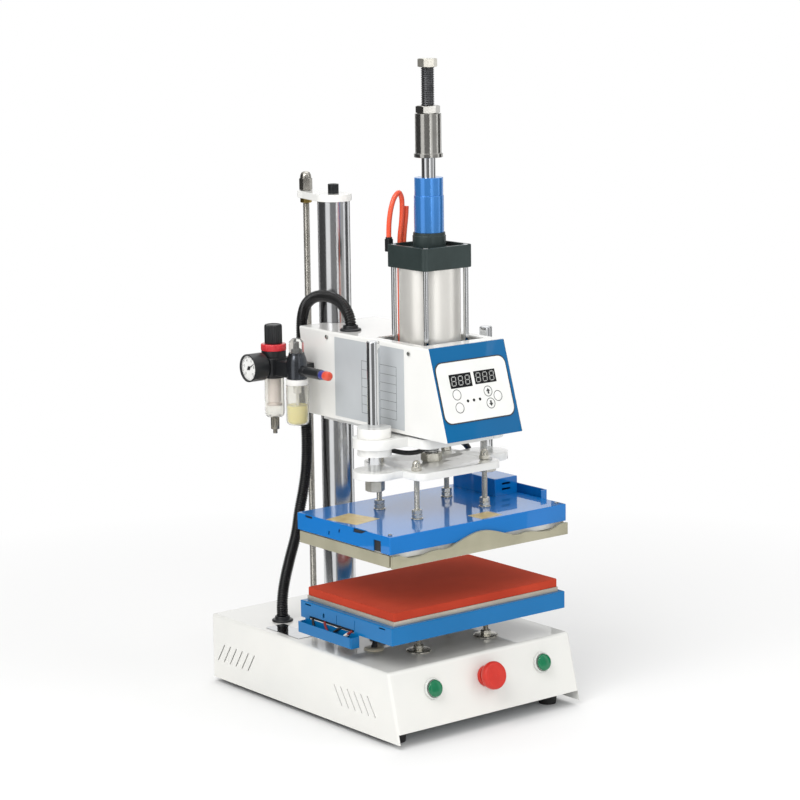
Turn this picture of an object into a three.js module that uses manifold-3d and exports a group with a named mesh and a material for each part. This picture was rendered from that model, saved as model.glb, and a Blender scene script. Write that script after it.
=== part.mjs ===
// Pneumatic heat press with a hanging heated head over a padded heated bed.
// Millimetres, +Z up, the operator stands at -Y. The origin is under the middle of the whole press.
import * as THREE from "three";
import { mergeVertices } from "three/addons/utils/BufferGeometryUtils.js";
import Module from "manifold-3d";

const wasm = await Module();
wasm.setup();

// Facets round a full circle
const facets = { large: 26, medium: 16, small: 12, bolt: 8, hex: 6, tube: 4, corner: 3, lip: 2 };

// Clearances shared by neighbours
const clear = { seat: 0.3, slide: 0.1, overrun: 2 };

// Base cabinet
const base = {
  width: 334, depth: 454, slope: 25, height: 97.4, wall: 2, frontLift: 14,
  floorThick: 3, columnHole: 0.4,
};
const foot = { radius: 14.4, height: 22, inX: 27, inFront: 42, inBack: 32, taper: 1.5 };
const vent = {
  count: 6, pitch: 15.4, length: 33.5, width: 2.2, run: 18.4, middle: 41, rearIn: 23.6, frontIn: 115.4,
};

// Controls on the sloped front
const controls = { down: 34, leftX: -95, rightX: 106, stopX: 1 };
const start = {
  collarRadius: 15, collarHeight: 4, collarFloor: 1, barrelRadius: 11, barrelDepth: 20, barrelFloor: 4,
  capRadius: 12, capHeight: 5, capEdge: 1, stemRadius: 6, stemDepth: 10, travel: 4,
};
const stop = {
  collarRadius: 15, collarHeight: 6, barrelRadius: 11, barrelDepth: 24, barrelFloor: 4,
  plungerRadius: 9, plungerDepth: 14, neckRadius: 5, neckHeight: 6,
  headRadius: 20, headThick: 14.5, rim: 4, faceRadius: 16, dome: 0.8, travel: 5, blind: 6.6,
};
const inlet = {
  width: 47, height: 27, flange: 3, flangeThick: 2, depth: 24, cavity: 16, wall: 3, sideWall: 9,
  pinLength: 9, pinWidth: 2.2, pinHeight: 4, pinPitch: 7, x: 90, z: 58,
};
const supply = { width: 110, depth: 150, height: 46, forward: 40 };

// Column, its top plate and the height screw
const column = { radius: 24, bore: 19, top: 721, fromFront: 329, footRadius: 46, footThick: 12 };
const topPlate = { thick: 10.5, columnEnd: 27, screwEnd: 13 };
const capScrew = {
  headRadius: 8, headHeight: 14, shankRadius: 5, shankDepth: 12, socket: 4, socketDepth: 6, plugThick: 8,
};
const screw = {
  radius: 5, room: 0.6, behind: 68, flats: 17, topNut: 18, acornTop: 28, underFlats: 15, underNut: 7.5,
  below: 12,
};

// Press axis and lower platen
const press = { fromFront: 106 };
const bed = {
  width: 318, depth: 212.6, bottom: 142.9, top: 167.5, sheet: 1.5, rim: 14,
  plateWidth: 301, plateDepth: 201, plateThick: 6.7, blockDown: 18, blockIn: 8,
};
const pad = { width: 300, depth: 200, thick: 12 };
const leg = { halfX: 62, halfY: 43, radius: 4, discRadius: 18, discThick: 2.6, flats: 13, nut: 6.5 };
const channel = {
  length: 125, shift: 32.5, bottom: 124.5, top: 140.5, wall: 1.5, tab: 10, mouthTop: 148,
};

// Head arm
const arm = {
  halfWidth: 70, bottom: 416.5, top: 543, frontTop: 80, frontBottom: 119.5, rearTop: 3, rearBottom: 21,
  sheet: 2, hole: 54.5, panelThick: 3, rearStrip: 26, notch: 27,
};
const membrane = { width: 125, height: 85, corner: 12, thick: 1, drop: 64.5, shiftX: -1.5 };
const casting = {
  plateBottom: 399, plateTop: 413, earRadius: 31, halfCross: 68, crossX: 66, cornerRadius: 14, waist: 2,
  spineHalf: 25, spineTop: 462, spineGap: 4, ringRadius: 36, ringBottom: 425, ringTop: 525,
  lugHalf: 13, lugRadius: 14, lugBottom: 440, lugTop: 500, boreRoom: 0.3,
};
const bush = { postX: 102.5, radius: 15, flangeRadius: 24, above: 14.5, below: 11.4 };
const valve = { width: 46, depth: 38, height: 30, x: -16, ahead: 2 };

// Cylinder and its adjustable stop
const cylinder = {
  capHalf: 44, capChamfer: 4, lowerThick: 28, upperBottom: 644, upperThick: 32, barrelRadius: 43.5, bore: 40,
  tieOff: 36, tieRadius: 3.8, tieNut: 6.5, tieFlats: 11, sink: 8, sinkRadius: 6.8,
  collarRadius: 23.5, collarHeight: 17,
};
const bumper = { radius: 21, neckRadius: 20.3, neckHeight: 25, height: 77 };
const ram = {
  rodRadius: 10, pistonRadius: 39.7, pistonThick: 26, pistonDown: 12, threadRadius: 9.3, threadFrom: 811,
  top: 935, topNut: 12, topFlats: 24, endFlats: 27, endNut: 12, lowNut: 9, studRadius: 8,
};
const sleeve = { radius: 18.5, flangeRadius: 20.3, flangeThick: 5.6, height: 61, nut: 11, flats: 30, gap: 28 };
const tubing = {
  radius: 3.6, gap: 1, lap: 1, fitting: 1.1, elbowAbove: 6, elbowHeight: 18, manifoldHeight: 14,
  elbowX: -34, feedX: -15, exhaustX: -7, feedSteps: 34, exhaustSteps: 16,
};

// Ram plate, guide posts and hangers
const ramPlate = {
  top: 366, thick: 10.5, earRadius: 31, halfCross: 68, crossX: 76, cornerRadius: 14, waist: 2,
};
const post = {
  radius: 9.2, top: 549, studRadius: 7, washer: 4.2, washerRadius: 13, nut: 15, flats: 24, cone: 1.5,
};
const hanger = {
  halfX: 62, halfY: 43, radius: 4, studRadius: 3, flats: 13, nut: 6, washerRadius: 8.5, washer: 2, dome: 9,
};

// Upper heater
const head = { width: 322, depth: 214, bottom: 271.8, top: 296.3, sheet: 1.5 };
const block = { halfX: 157, depth: 206, bottom: 263, top: 281 };
const rail = { halfX: 160, web: 6, foot: 5, footThick: 2.5, bottom: 252.8, height: 17 };
const drawer = {
  plateThick: 7, lip: 4.2, halfX: 160, centre: 29.5, crown: 28.5, hump: 22, foot: 52,
  shoulder: 15.2, shoulderX: 86, saddle: 13.6, saddleX: 62, dip: 9.4, dipX: 122, end: 17, endX: 146,
};
const box = {
  left: 117, right: 160, ahead: 1, back: 96, height: 25, wall: 2, slotWidth: 16, slotHeight: 3, slotPitch: 8,
};
const sideRail = { out: 11, front: 53, back: 24, bottom: 286, top: 307, wall: 1.5 };
const cable = { radius: 4.3, steps: 22, thinRadius: 3.4, thinSteps: 18 };

// Filter, regulator and lubricator on the left of the arm
const frl = {
  x: -105, regBehind: 235, lubBehind: 178, bodyRadius: 18, bodyTop: 509, bodyBottom: 469,
  blockHalf: 19, blockBottom: 474, blockTop: 499, linkTop: 497, lubRadius: 15, lubBottom: 465, lubTop: 511,
  domeRadius: 11, domeTop: 533, linkHalf: 11, bracketHalf: 24, bracketThick: 12,
  portRadius: 5, portLength: 14, portBore: 2.6, fittingRadius: 7.5, fittingLength: 56, plugRadius: 6.6,
  plugLength: 13, ringRadius: 18.6, ringThick: 10, stemRadius: 4, stemLength: 14,
};
const knob = { radius: 13, height: 28, top: 1.5, bore: 4.4, boreDepth: 16 };
const gauge = { radius: 20.5, face: -152, depth: 27, rim: 2.2, recess: 3, z: 487, bossRadius: 6, pinRadius: 1 };
const needle = { length: 14, tail: 5, half: 0.9, tip: 0.3, hub: 3, thick: 0.8, angle: -Math.PI / 3 };
const bowl = {
  filterRadius: 14.5, filterBottom: 410, drainRadius: 6.4, drainBottom: 385, lubRadius: 16.5, lubBottom: 406,
  round: 6,
};

// Ribbed conduit from the base to the top of the arm
const conduit = { crest: 8.5, root: 7.1, bore: 5.8, ribs: 140, ringPoints: 8, boreEvery: 5, divisions: 400 };
const gland = {
  flangeRadius: 15.5, flangeThick: 3.4, bevel: 2, collarRadius: 11, collarHeight: 4.6, stemRadius: 9,
  stemDepth: 8, bore: 5.8,
};

// Places that follow from the sizes above
const cabinetBottom = foot.height - base.frontLift;
const deck = cabinetBottom + base.height;
const lean = Math.atan2(base.slope, base.height);
const stopUnder = stop.collarHeight + stop.travel + clear.seat;
const stopFace = stopUnder + stop.headThick - stop.dome;
const reach = controls.down * Math.sin(lean) + stopFace * Math.cos(lean) + stop.faceRadius * Math.sin(lean)
  - base.slope;
const backY = (base.depth + reach - inlet.flangeThick) / 2;
const frontY = backY - base.depth;
const deckFrontY = frontY + base.slope;
const pressY = deckFrontY + press.fromFront;
const columnY = deckFrontY + column.fromFront;
const screwY = columnY + screw.behind;
const reachX = head.width / 2 + sideRail.out;
const padTop = bed.top + bed.plateThick + pad.thick;
const capTop = cylinder.upperBottom + cylinder.upperThick;
const collarTop = capTop + cylinder.collarHeight;
const bumperTop = collarTop + bumper.height;
const sleeveBottom = bumperTop + sleeve.gap;
const regY = deckFrontY + frl.regBehind + press.fromFront;
const lubY = deckFrontY + frl.lubBehind + press.fromFront;

// Finishes
function finish(color, roughness, metalness = 0) {
  return new THREE.MeshStandardMaterial({ color, roughness, metalness });
}
const whitePaint = () => finish(0xf1f0ec, 0.25);
const bluePaint = () => finish(0x1b74c4, 0.3);
const chrome = () => finish(0xd9dbdc, 0.12, 1);
const steel = () => finish(0xb9b6ad, 0.3, 1);
const aluminium = () => finish(0xc9cbcc, 0.35, 1);
const blackPlastic = () => finish(0x16181a, 0.45);
const blackRubber = () => finish(0x121212, 0.8);

// Basic shapes, all standing on z = 0 and centred on the Z axis
function toSolid(geometry) {
  const bare = geometry.clone();
  bare.deleteAttribute("normal");
  bare.deleteAttribute("uv");
  const merged = mergeVertices(bare);
  const points = merged.getAttribute("position").array;
  const source = merged.index.array;
  const faces = [];
  for (let i = 0; i < source.length; i += 3) {
    const [a, b, c] = [source[i], source[i + 1], source[i + 2]];
    if (a !== b && b !== c && c !== a) faces.push([a, b, c]);
  }
  const at = (i) => new THREE.Vector3().fromArray(points, 3 * i);
  const volume = faces.reduce((sum, [a, b, c]) => sum + at(a).dot(at(b).cross(at(c))), 0);
  const order = faces.flatMap(([a, b, c]) => (volume < 0 ? [a, c, b] : [a, b, c]));
  return new wasm.Manifold(new wasm.Mesh({
    numProp: 3, vertProperties: new Float32Array(points), triVerts: new Uint32Array(order),
  }));
}

function toGeometry(solid) {
  const mesh = solid.getMesh();
  const geometry = new THREE.BufferGeometry();
  geometry.setAttribute("position", new THREE.BufferAttribute(new Float32Array(mesh.vertProperties), 3));
  geometry.setIndex(new THREE.BufferAttribute(new Uint32Array(mesh.triVerts), 1));
  geometry.computeVertexNormals();
  return geometry;
}

function slab(x0, x1, y0, y1, z0, z1) {
  const geometry = new THREE.BoxGeometry(x1 - x0, y1 - y0, z1 - z0);
  return toSolid(geometry.translate((x0 + x1) / 2, (y0 + y1) / 2, (z0 + z1) / 2));
}

function rod(radius, z0, z1, sides = facets.medium, x = 0, y = 0, endRadius = radius) {
  const geometry = new THREE.CylinderGeometry(endRadius, radius, z1 - z0, sides);
  return toSolid(geometry.rotateX(Math.PI / 2).translate(x, y, (z0 + z1) / 2));
}

function hexNut(flats, z0, z1, x = 0, y = 0) {
  return rod(flats / Math.sqrt(3), z0, z1, facets.hex, x, y);
}

function turned(profile, sides = facets.medium) {
  const points = profile.map(([radius, height]) => new THREE.Vector2(radius, height));
  return toSolid(new THREE.LatheGeometry(points, sides).rotateX(Math.PI / 2));
}

function outline(points) {
  return new THREE.Shape(points.map(([x, y]) => new THREE.Vector2(x, y)));
}

function roundedRect(halfX, halfY, radius) {
  const shape = new THREE.Shape();
  shape.moveTo(-halfX + radius, -halfY);
  shape.lineTo(halfX - radius, -halfY);
  shape.absarc(halfX - radius, -halfY + radius, radius, -Math.PI / 2, 0);
  shape.lineTo(halfX, halfY - radius);
  shape.absarc(halfX - radius, halfY - radius, radius, 0, Math.PI / 2);
  shape.lineTo(-halfX + radius, halfY);
  shape.absarc(-halfX + radius, halfY - radius, radius, Math.PI / 2, Math.PI);
  shape.lineTo(-halfX, -halfY + radius);
  shape.absarc(-halfX + radius, -halfY + radius, radius, Math.PI, 1.5 * Math.PI);
  return shape;
}

// An outline in plan, pulled up from z0 to z1
function plate(shape, z0, z1, curveSegments = facets.corner) {
  const geometry = new THREE.ExtrudeGeometry(shape, { depth: z1 - z0, bevelEnabled: false, curveSegments });
  return toSolid(geometry.translate(0, 0, z0));
}

// An outline in Y and Z, pulled along X from x0 to x1
function sideProfile(points, x0, x1) {
  const geometry = new THREE.ExtrudeGeometry(outline(points), { depth: x1 - x0, bevelEnabled: false });
  const axes = new THREE.Matrix4().makeBasis(
    new THREE.Vector3(0, 1, 0), new THREE.Vector3(0, 0, 1), new THREE.Vector3(1, 0, 0));
  return toSolid(geometry.applyMatrix4(axes).translate(x0, 0, 0));
}

// An outline in X and Z, pulled along Y from y0 to y1
function frontProfile(shape, y0, y1) {
  const options = { depth: y1 - y0, bevelEnabled: false, curveSegments: facets.lip };
  const geometry = new THREE.ExtrudeGeometry(shape, options);
  const axes = new THREE.Matrix4().makeBasis(
    new THREE.Vector3(1, 0, 0), new THREE.Vector3(0, 0, 1), new THREE.Vector3(0, -1, 0));
  return toSolid(geometry.applyMatrix4(axes).translate(0, y1, 0));
}

// A round bar along a list of points, by way of a smooth curve
function cord(points, radius, steps, sides = facets.tube) {
  const path = new THREE.CatmullRomCurve3(points.map((p) => new THREE.Vector3(...p)));
  const section = new THREE.Shape();
  section.absarc(0, 0, radius, 0, 2 * Math.PI);
  const options = { steps, extrudePath: path, bevelEnabled: false, curveSegments: sides };
  return toSolid(new THREE.ExtrudeGeometry(section, options));
}

const join = (...solids) => solids.reduce((whole, solid) => whole.add(solid));
const cut = (body, ...tools) => tools.reduce((whole, tool) => whole.subtract(tool), body);
const signs = [-1, 1];

// Shares that shape the small turned parts
const acornShares = { bottom: 0.86, top: 0.5 };
const domeShares = { bottom: 0.84, top: 0.4, collar: 0.8 };

// The press, with one group for each assembly that is set at its own place
const whole = new THREE.Group();

function add(parent, name, solid, material, x = 0, y = 0, z = 0) {
  const mesh = new THREE.Mesh(solid.isBufferGeometry ? solid : toGeometry(solid), material);
  mesh.name = name;
  mesh.position.set(x, y, z);
  parent.add(mesh);
  return mesh;
}

function group(x, y, z, tilt = 0) {
  const made = new THREE.Group();
  made.position.set(x, y, z);
  made.rotation.x = tilt;
  whole.add(made);
  return made;
}

// Cabinet: a folded sheet box, open below, with the front leaning back
function frontAt(z, inset = 0) {
  return frontY + inset / Math.cos(lean) + (z - cabinetBottom) * Math.tan(lean);
}

function cabinetProfile(inset, low) {
  const [back, top] = [backY - inset, deck - inset];
  return [[back, low], [back, top], [frontAt(top, inset), top], [frontAt(low, inset), low]];
}

function ventSlots(side) {
  const angle = Math.asin(vent.run / vent.length);
  const slots = [];
  for (const [first, tip] of [[backY - vent.rearIn, 1], [deckFrontY + vent.frontIn, -1]]) {
    for (let i = 0; i < vent.count; i += 1) {
      const slot = new THREE.BoxGeometry(2 * (base.wall + clear.overrun), vent.width, vent.length);
      slot.rotateX(tip * angle);
      const y = first - i * vent.pitch;
      slots.push(toSolid(slot.translate(side * base.width / 2, y, cabinetBottom + vent.middle)));
    }
  }
  return slots;
}

function cabinet() {
  const half = base.width / 2;
  const shell = sideProfile(cabinetProfile(0, cabinetBottom), -half, half);
  const inside = sideProfile(cabinetProfile(base.wall, cabinetBottom - clear.overrun), -half + base.wall,
    half - base.wall);
  const frontGap = slab(-half + base.wall, half - base.wall, frontY - clear.overrun,
    deckFrontY + base.wall, cabinetBottom - clear.overrun, foot.height);
  const columnHole = rod(column.radius + base.columnHole, deck - base.wall - clear.overrun,
    deck + clear.overrun, facets.large, 0, columnY);
  const conduitHole = rod(gland.stemRadius + clear.seat, deck - base.wall - clear.overrun, deck + clear.overrun,
    facets.medium, conduitRoute[0][0], conduitRoute[0][1]);
  const inletHole = slab(inlet.x - inlet.width / 2 - clear.seat, inlet.x + inlet.width / 2 + clear.seat,
    backY - base.wall - clear.overrun, backY + clear.overrun,
    inlet.z - inlet.height / 2 - clear.seat, inlet.z + inlet.height / 2 + clear.seat);
  const screwHole = rod(screw.radius + screw.room, deck - base.wall - clear.overrun, deck + clear.overrun,
    facets.bolt, 0, screwY);
  return cut(shell, inside, frontGap, columnHole, conduitHole, inletHole, screwHole,
    ...panelHoles(), ...signs.flatMap(ventSlots));
}

// Holes through the sloped front, square to it
function panelHoles() {
  const z = deck - controls.down * Math.cos(lean);
  const y = deckFrontY - controls.down * Math.sin(lean);
  return [[controls.leftX, start.barrelRadius], [controls.rightX, start.barrelRadius],
    [controls.stopX, stop.barrelRadius]].map(([x, radius]) => {
    const reachIn = base.wall + clear.overrun;
    const room = radius + clear.seat;
    const hole = new THREE.CylinderGeometry(room, room, 2 * reachIn, facets.medium);
    return toSolid(hole.rotateX(Math.PI / 2).rotateX(Math.PI / 2 - lean).translate(x, y, z));
  });
}

// Floor of the cabinet, with the column foot standing on it
const floorTop = foot.height + base.floorThick;
function cabinetFloor() {
  const half = base.width / 2 - base.wall - clear.seat;
  const front = frontAt(floorTop, base.wall) + clear.seat;
  return slab(-half, half, front, backY - base.wall - clear.seat, foot.height, floorTop);
}

function rubberFoot() {
  return rod(foot.radius - foot.taper, 0, foot.height, facets.medium, 0, 0, foot.radius);
}

// The conduit leaves the deck, climbs behind the arm, arches over and enters the arm's top sheet
const straightShares = [0, 0.5, 1];
const conduitRoute = conduitPoints();
function conduitPoints() {
  const seat = gland.flangeThick + gland.collarHeight + clear.seat;
  const [foot0, head0] = [[-112, 126], [-43, 38.5]];
  const rise = ([x, y], z, shares) => shares.map((share) => [x, y, z + seat + share * 2 * conduit.crest]);
  return [
    ...rise(foot0, deck, straightShares),
    [-109, 127.5, 148], [-102.5, 130, 168], [-89.9, 135, 195], [-74, 140, 229], [-64, 144, 262],
    [-54, 147, 292], [-46, 150, 322], [-42, 152, 365], [-42, 154, 403], [-43, 156, 460], [-44, 157, 520],
    [-44, 155, 548], [-44, 146, 568], [-44, 130, 580], [-43, 111, 586], [-42, 91, 586], [-41, 70, 582],
    [-41, 49, 572],
    ...rise(head0, arm.top, straightShares).reverse(),
  ];
}

// A tube of rings: ribs outside, a plain bore inside, closed by a flat ring at each end
const ribShares = { crest: 0.45, tail: 0.5 };
function ribbedHose() {
  const curve = new THREE.CatmullRomCurve3(conduitRoute.map((p) => new THREE.Vector3(...p)));
  curve.arcLengthDivisions = conduit.divisions;
  const length = curve.getLength();
  const pitch = length / (conduit.ribs + ribShares.tail);
  const stations = [{ at: 0, radius: conduit.root }];
  for (let i = 0; i < conduit.ribs; i += 1) {
    stations.push({ at: (i + ribShares.crest) * pitch, radius: conduit.crest });
    stations.push({ at: (i + 1) * pitch, radius: conduit.root });
  }
  stations.push({ at: length, radius: conduit.root });
  const boreStations = [];
  for (let i = 0; i <= conduit.ribs; i += conduit.boreEvery) {
    boreStations.push({ at: i * pitch, radius: conduit.bore });
  }
  boreStations[boreStations.length - 1].at = length;
  const up = new THREE.Vector3(1, 0, 0);
  const points = [];
  const ring = ({ at, radius }) => {
    const share = Math.min(at / length, 1);
    const centre = curve.getPointAt(share);
    const along = curve.getTangentAt(share);
    const side = new THREE.Vector3().crossVectors(up, along).normalize();
    const other = new THREE.Vector3().crossVectors(along, side);
    const first = points.length / 3;
    for (let k = 0; k < conduit.ringPoints; k += 1) {
      const angle = 2 * Math.PI * k / conduit.ringPoints;
      const point = centre.clone().addScaledVector(side, radius * Math.cos(angle))
        .addScaledVector(other, radius * Math.sin(angle));
      points.push(point.x, point.y, point.z);
    }
    return first;
  };
  const outer = stations.map(ring);
  const inner = boreStations.map(ring).reverse();
  const loop = [...outer, ...inner, outer[0]];
  const faces = [];
  for (let i = 0; i + 1 < loop.length; i += 1) {
    for (let k = 0; k < conduit.ringPoints; k += 1) {
      const next = (k + 1) % conduit.ringPoints;
      const [a, b, c, d] = [loop[i] + k, loop[i] + next, loop[i + 1] + next, loop[i + 1] + k];
      faces.push(a, b, c, a, c, d);
    }
  }
  const geometry = new THREE.BufferGeometry();
  geometry.setAttribute("position", new THREE.BufferAttribute(new Float32Array(points), 3));
  geometry.setIndex(faces);
  return toSolid(geometry);
}

// A screwed gland: flange on the sheet, collar round the hose, stem and nut below
function conduitGland() {
  const top = gland.flangeThick + gland.collarHeight;
  return turned([
    [gland.bore, -gland.stemDepth], [gland.stemRadius, -gland.stemDepth], [gland.stemRadius, 0],
    [gland.flangeRadius, 0], [gland.flangeRadius - gland.bevel, gland.flangeThick],
    [gland.collarRadius, gland.flangeThick + gland.bevel], [gland.collarRadius, top], [gland.bore, top],
    [gland.bore, -gland.stemDepth],
  ]);
}

// Column and what tops it
function columnTube() {
  const body = join(rod(column.radius, floorTop, column.top, facets.large),
    rod(column.footRadius, floorTop, floorTop + column.footThick, facets.large));
  const plugBottom = column.top - capScrew.plugThick - capScrew.shankDepth;
  const hollow = rod(column.bore, floorTop - clear.overrun, plugBottom, facets.large);
  const thread = rod(capScrew.shankRadius + clear.seat, column.top - capScrew.shankDepth - clear.overrun,
    column.top + clear.overrun, facets.bolt);
  return cut(body, hollow, thread);
}

function columnTopPlate() {
  const shape = new THREE.Shape();
  const gap = screw.behind;
  const tilt = Math.asin((topPlate.columnEnd - topPlate.screwEnd) / gap);
  shape.absarc(0, 0, topPlate.columnEnd, Math.PI - tilt, 2 * Math.PI + tilt);
  shape.absarc(0, gap, topPlate.screwEnd, tilt, Math.PI - tilt);
  const top = topPlate.thick;
  const headTop = top + capScrew.headHeight;
  const body = plate(shape, 0, top, facets.bolt);
  const screwHole = rod(screw.radius + screw.room, -clear.overrun, top + clear.overrun, facets.bolt, 0, gap);
  const bolt = join(rod(capScrew.headRadius, top - clear.seat, headTop, facets.small),
    rod(capScrew.shankRadius, -capScrew.shankDepth + clear.seat, top, facets.bolt));
  const socket = rod(capScrew.socket, headTop - capScrew.socketDepth, headTop + clear.overrun, facets.hex);
  return cut(join(cut(body, screwHole), bolt), socket);
}

function heightScrew() {
  const plateTop = column.top + topPlate.thick;
  const nutTop = plateTop + clear.seat + screw.topNut;
  const corner = screw.flats / Math.sqrt(3);
  return join(
    rod(screw.radius, floorTop + screw.below, nutTop, facets.bolt),
    hexNut(screw.flats, plateTop + clear.seat, nutTop),
    rod(corner * acornShares.bottom, nutTop, plateTop + screw.acornTop, facets.bolt, 0, 0,
      corner * acornShares.top),
    hexNut(screw.underFlats, column.top - clear.seat - screw.underNut, column.top - clear.seat),
  );
}

// Mains inlet with its three pins, and the supply unit on the cabinet floor
function mainsInlet() {
  const [w, h] = [inlet.width / 2, inlet.height / 2];
  const rear = inlet.flangeThick;
  const body = join(slab(-w - inlet.flange, w + inlet.flange, 0, rear, -h - inlet.flange, h + inlet.flange),
    slab(-w, w, -inlet.depth, rear, -h, h));
  const cavity = slab(-w + inlet.sideWall, w - inlet.sideWall, rear - inlet.cavity, rear + clear.overrun,
    -h + inlet.wall, h - inlet.wall);
  const floor = rear - inlet.cavity;
  const [halfPin, halfHigh] = [inlet.pinWidth / 2, inlet.pinHeight / 2];
  const pins = [-1, 0, 1].map((i) => slab(i * inlet.pinPitch - halfPin, i * inlet.pinPitch + halfPin,
    floor - clear.seat, floor + inlet.pinLength, -halfHigh, halfHigh));
  return join(cut(body, cavity), ...pins);
}

// Start buttons and emergency stop, drawn with +Z out of the panel
function startCollar() {
  const bore = start.stemRadius + clear.seat;
  const seat = start.capRadius + clear.seat;
  return turned([
    [0, -start.barrelDepth], [start.barrelRadius, -start.barrelDepth], [start.barrelRadius, clear.seat],
    [start.collarRadius, clear.seat], [start.collarRadius, start.collarHeight],
    [seat, start.collarHeight], [seat, start.collarFloor], [bore, start.collarFloor],
    [bore, -start.barrelDepth + start.barrelFloor], [0, -start.barrelDepth + start.barrelFloor],
  ]);
}

function startButton() {
  const under = start.collarFloor + start.travel + clear.seat;
  const top = under + start.capHeight;
  const edge = start.capEdge;
  return turned([
    [0, -start.stemDepth], [start.stemRadius, -start.stemDepth], [start.stemRadius, under],
    [start.capRadius, under], [start.capRadius, top - edge], [start.capRadius - edge, top], [0, top],
  ]);
}

function stopCollar() {
  const bore = stop.plungerRadius + clear.seat;
  return turned([
    [0, -stop.barrelDepth], [stop.barrelRadius, -stop.barrelDepth], [stop.barrelRadius, clear.seat],
    [stop.collarRadius, clear.seat], [stop.collarRadius, stop.collarHeight], [bore, stop.collarHeight],
    [bore, -stop.barrelDepth + stop.barrelFloor], [0, -stop.barrelDepth + stop.barrelFloor],
  ]);
}

function stopPlunger() {
  const shoulder = stopUnder - clear.seat;
  return turned([
    [0, -stop.plungerDepth], [stop.plungerRadius, -stop.plungerDepth], [stop.plungerRadius, shoulder],
    [stop.neckRadius, shoulder], [stop.neckRadius, stopUnder + stop.neckHeight],
    [0, stopUnder + stop.neckHeight],
  ]);
}

function stopHead() {
  const bore = stop.neckRadius + clear.seat;
  const top = stopUnder + stop.headThick;
  return turned([
    [bore, stopUnder], [stop.headRadius - stop.rim / 2, stopUnder], [stop.headRadius, stopUnder + stop.rim],
    [stop.headRadius, top - stop.dome - stop.rim], [stop.faceRadius, top - stop.dome],
    [stop.faceRadius / 2, top - stop.dome / 4], [0, top],
    [0, stopUnder + stop.blind], [bore, stopUnder + stop.blind], [bore, stopUnder],
  ], facets.large);
}

// Heated bed: a folded cover over an aluminium block, on four screwed legs
function bedTray() {
  const [w, d] = [bed.width / 2, bed.depth / 2];
  const shell = slab(-w, w, -d, d, bed.bottom, bed.top);
  const inside = slab(-w + bed.sheet, w - bed.sheet, -d + bed.sheet, d - bed.sheet,
    bed.bottom - clear.overrun, bed.top - bed.sheet);
  const window0 = slab(-w + bed.rim, w - bed.rim, -d + bed.rim, d - bed.rim,
    bed.top - bed.sheet - clear.overrun, bed.top + clear.overrun);
  const [y0, y1] = signs.map((s) => channel.shift + s * channel.length / 2);
  const mouth = slab(-w - clear.overrun, -w + bed.sheet + clear.overrun, y0 + channel.tab, y1 - channel.tab,
    channel.top, channel.mouthTop);
  const trough = cut(slab(-reachX, -w + bed.sheet, y0, y1, channel.bottom, channel.top),
    slab(-reachX + channel.wall, -w, y0 + channel.wall, y1 - channel.wall,
      channel.bottom + channel.wall, channel.top + clear.overrun));
  const tabs = [y0, y1 - channel.tab].map((y) => slab(-w, -w + bed.sheet, y, y + channel.tab, channel.bottom,
    bed.bottom + bed.sheet));
  return join(cut(join(cut(shell, inside, window0), ...tabs), mouth), trough);
}

function bedPlate() {
  const [w, d] = [bed.plateWidth / 2, bed.plateDepth / 2];
  const [bw, bd] = [bed.width / 2 - bed.rim - clear.seat, bed.depth / 2 - bed.rim - clear.seat];
  const low = bed.top - bed.blockDown;
  const body = join(slab(-w, w, -d, d, bed.top, bed.top + bed.plateThick),
    slab(-bw, bw, -bd, bd, low, bed.top + clear.overrun));
  return cut(body, ...corners(leg).map(([x, y]) => rod(leg.radius + clear.seat, low - clear.overrun,
    low + bed.blockIn, facets.bolt, x, y)));
}

function corners({ halfX, halfY }) {
  return signs.flatMap((sy) => signs.map((sx) => [sx * halfX, sy * halfY]));
}

function bedLeg() {
  const low = bed.top - bed.blockDown;
  const disc = deck + leg.discThick;
  return join(
    rod(leg.radius, deck, low + bed.blockIn - clear.seat, facets.bolt),
    rod(leg.discRadius, deck, disc, facets.medium, 0, 0, leg.discRadius - leg.discThick / 2),
    hexNut(leg.flats, disc, disc + leg.nut), hexNut(leg.flats, low - leg.nut, low),
  );
}

// Arm: folded white cover, blue control panel, and the casting that does the work
function armSide(y) {
  const share = (y - arm.bottom) / (arm.top - arm.bottom);
  return {
    front: pressY - arm.frontBottom + (arm.frontBottom - arm.frontTop) * share,
    rear: columnY - arm.rearBottom + (arm.rearBottom - arm.rearTop) * share,
  };
}

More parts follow.
